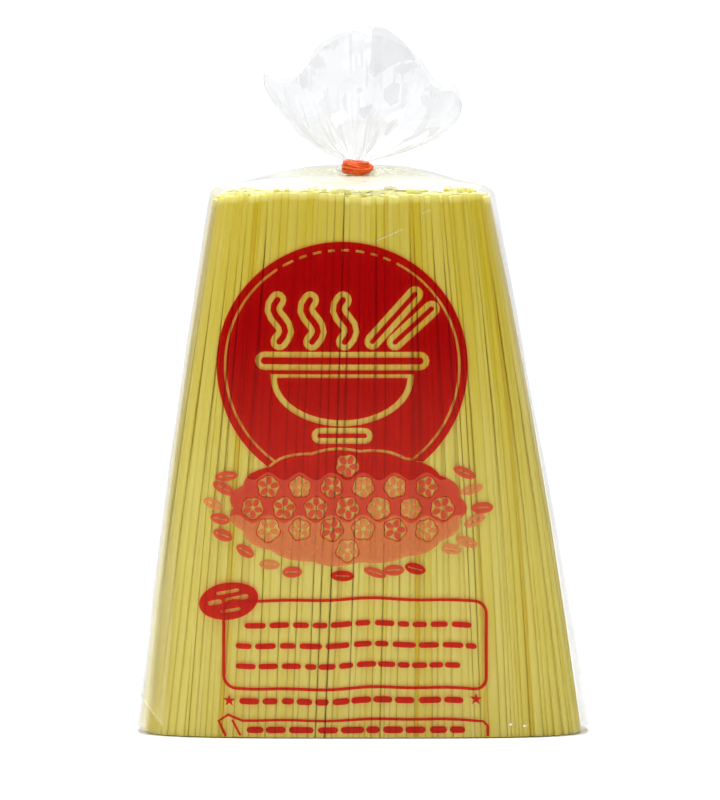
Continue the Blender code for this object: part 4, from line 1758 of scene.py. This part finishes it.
    def _rules(self, shape: bmesh.types.BMesh, draw: random.Random,
               row: tuple[float, float, float], height: float) -> None:
        """A row of short bars of uneven length, from its left to its right at one level."""
        x, right, z = row
        while x < right - 2.0:
            length = min(draw.uniform(*self.bar_lengths), right - x)
            line = [(x, z), (x + length / 2, z), (x + length, z)]
            self._fill(shape, [ribbon_loop(line, height, 4)])
            x += length + height + draw.uniform(*self.bar_gaps)

    def _panel(self, shape: bmesh.types.BMesh, draw: random.Random) -> None:
        """The round-cornered box, drawn as a line, with three rows of bars."""
        left, right, low, high = self.panel
        line, corner = self.panel_line, self.panel_corner
        self._fill(shape, [box_loop(left, right, low, high, corner),
                           box_loop(left + line, right - line, low + line, high - line, corner - line)])
        for row in self.panel_rules:
            self._rules(shape, draw, row, self.panel_bar)

    def _foot_line(self, shape: bmesh.types.BMesh, draw: random.Random) -> None:
        """A row of bars between two stars."""
        self._rules(shape, draw, self.foot_rules, self.foot_bar)
        for x, z in self.stars:
            points = []
            for step in range(10):
                reach = self.star_reach[step % 2]
                angle = math.radians(90.0 + 36.0 * step)
                points.append((x + reach * math.cos(angle), z + reach * math.sin(angle)))
            self._fill(shape, [points])

    def _foot_box(self, shape: bmesh.types.BMesh, draw: random.Random) -> None:
        """The box at the foot, which the fold under the base cuts off."""
        self._fill(shape, [ribbon_loop(self.box, self.box_line, 4)])
        self._fill(shape, [ribbon_loop(self.flap, self.flap_line, 4)])
        self._rules(shape, draw, self.box_rules, self.box_bar)

    def _drape(self, shape: bmesh.types.BMesh) -> None:
        """Cut the flat shapes into small cells and lay them on the film, with its slight waves."""
        for axis, low, high in ((0, -60.0 * MM, 54.0 * MM), (2, 0.0, 200.0 * MM)):
            normal = Vector((0.0, 0.0, 0.0))
            normal[axis] = 1.0
            cuts = int((high - low) / self.cell)
            for cut in range(cuts + 1):
                place = Vector((0.0, 0.0, 0.0))
                place[axis] = low + cut * self.cell
                every = shape.verts[:] + shape.edges[:] + shape.faces[:]
                bmesh.ops.bisect_plane(shape, geom=every, dist=1e-8, plane_co=place, plane_no=normal)
        for corner in shape.verts:
            x, z = corner.co.x, corner.co.z
            wave = 0.55 * MM * math.sin(x * 75.0 + z * 20.0) + 0.3 * MM * math.sin(x * 190.0 + 1.0)
            calm = 1.0 - ease((z - 60 * MM) / (40 * MM))
            z += wave * calm * ease(z / (12 * MM))
            hit = self.film.front(x, z)
            if hit is None:
                raise ValueError(f"no film behind the print at {x:.4f}, {z:.4f}")
            corner.co = hit + Vector((0.0, -self.lift, 0.0))
        for face in shape.faces:
            face.normal_update()
            if face.normal.y > 0:
                face.normal_flip()


# ---------------------------------------------------------------- the studio


@dataclass
class Studio:
    """White floor, soft lights and the camera at the photograph's angle."""

    aim: Vector = field(default_factory=lambda: Vector((-1.0 * MM, 0.0, 133.4 * MM)))
    distance: float = 5.0
    elevation: float = 6.5
    view_height: float = 0.320
    floor_radius: float = 16.0
    sun_power: float = 3.0
    sun_spread: float = 50.0
    sun_tilt: tuple = (4.0, -5.0, 0.0)
    box_aim: tuple = (0.0, 0.0, 0.14)
    boxes: tuple = (("top_box", (0.0, -0.1, 1.15), 1.0, 1.0, 13.0),
                    ("side_box", (-1.0, -1.1, 1.0), 0.9, 1.1, 2.5))

    def build(self) -> None:
        """Set up the stage, the world, the lights and the camera."""
        self._floor()
        self._world()
        self._lights()
        self._camera()
        bpy.context.scene.view_settings.view_transform = "Standard"
        bpy.context.scene.cycles.transparent_max_bounces = 32

    def _floor(self) -> None:
        """A wide level disc."""
        shape = bmesh.new()
        bmesh.ops.create_circle(shape, cap_ends=True, segments=96, radius=self.floor_radius)
        floor = add_object("studio_floor", shape, FloorFinish().material())

    @staticmethod
    def _world() -> None:
        """Soft light all round, with a darker side behind the camera for glossy surfaces to mirror."""
        world = bpy.data.worlds.new("studio")
        bpy.context.scene.world = world
        world.use_nodes = True
        graph = Graph(world.node_tree)
        camera = graph.node("ShaderNodeLightPath", None, None, "Is Camera Ray")
        glossy = graph.node("ShaderNodeLightPath", None, None, "Is Glossy Ray")
        way = graph.node("ShaderNodeTexCoord", None, None, "Generated")
        ahead = graph.node("ShaderNodeSeparateXYZ", None, {0: way}, "Y")
        rise = graph.node("ShaderNodeSeparateXYZ", None, {0: way}, "Z")
        front = (ahead * -1.0).between(0.05, 0.3) * (1.0 - rise.between(0.75, 0.9))
        patch = graph.noise(way, 1.7, 0.0).between(0.47, 0.53) * 0.3
        mirrored = graph.mix(front.either(patch), (1.05, 1.05, 1.05, 1.0), (0.12, 0.12, 0.14, 1.0))
        soft = graph.mix(glossy, (0.36, 0.36, 0.36, 1.0), mirrored)
        colour = graph.mix(camera, soft, (1.0, 1.0, 1.0, 1.0))
        light = graph.node("ShaderNodeBackground", None, {"Color": colour})
        graph.node("ShaderNodeOutputWorld", None, {0: light})

    def _lights(self) -> None:
        """Broad light from overhead, a softbox above the pack and one at the front left."""
        sun = bpy.data.lights.new("overhead", "SUN")
        sun.energy = self.sun_power
        sun.angle = math.radians(self.sun_spread)
        above = bpy.data.objects.new("overhead", sun)
        above.location = (0.0, 0.0, 2.0)
        above.rotation_euler = [math.radians(tilt) for tilt in self.sun_tilt]
        bpy.context.scene.collection.objects.link(above)
        for name, place, wide, high, power in self.boxes:
            light = bpy.data.lights.new(name, "AREA")
            light.shape = "RECTANGLE"
            light.size = wide
            light.size_y = high
            light.energy = power
            lamp = bpy.data.objects.new(name, light)
            lamp.location = place
            toward = Vector(self.box_aim) - Vector(place)
            lamp.rotation_euler = toward.to_track_quat("-Z", "Y").to_euler()
            bpy.context.scene.collection.objects.link(lamp)

    def _camera(self) -> None:
        """A long lens at the front, a little above the middle."""
        data = bpy.data.cameras.new("camera")
        data.sensor_fit = "VERTICAL"
        data.sensor_height = 36.0
        data.lens = data.sensor_height * self.distance / self.view_height
        data.clip_end = 60.0
        camera = bpy.data.objects.new("camera", data)
        rise = math.radians(self.elevation)
        back = Vector((0.0, -math.cos(rise), math.sin(rise)))
        camera.location = self.aim + back * self.distance
        camera.rotation_euler = (-back).to_track_quat("-Z", "Y").to_euler()
        bpy.context.scene.collection.objects.link(camera)
        bpy.context.scene.camera = camera


def main() -> None:
    """Build the bundle, the bag, the print and the band, and then the studio round them."""
    logging.basicConfig(level=logging.INFO, format="%(name)s: %(message)s")
    form = BundleForm()
    Strands(form).build()
    bag = FilmBag(form)
    bag.build()
    Print(bag).build()
    RubberBand().build()
    Studio().build()


if __name__ == "__main__":
    main()
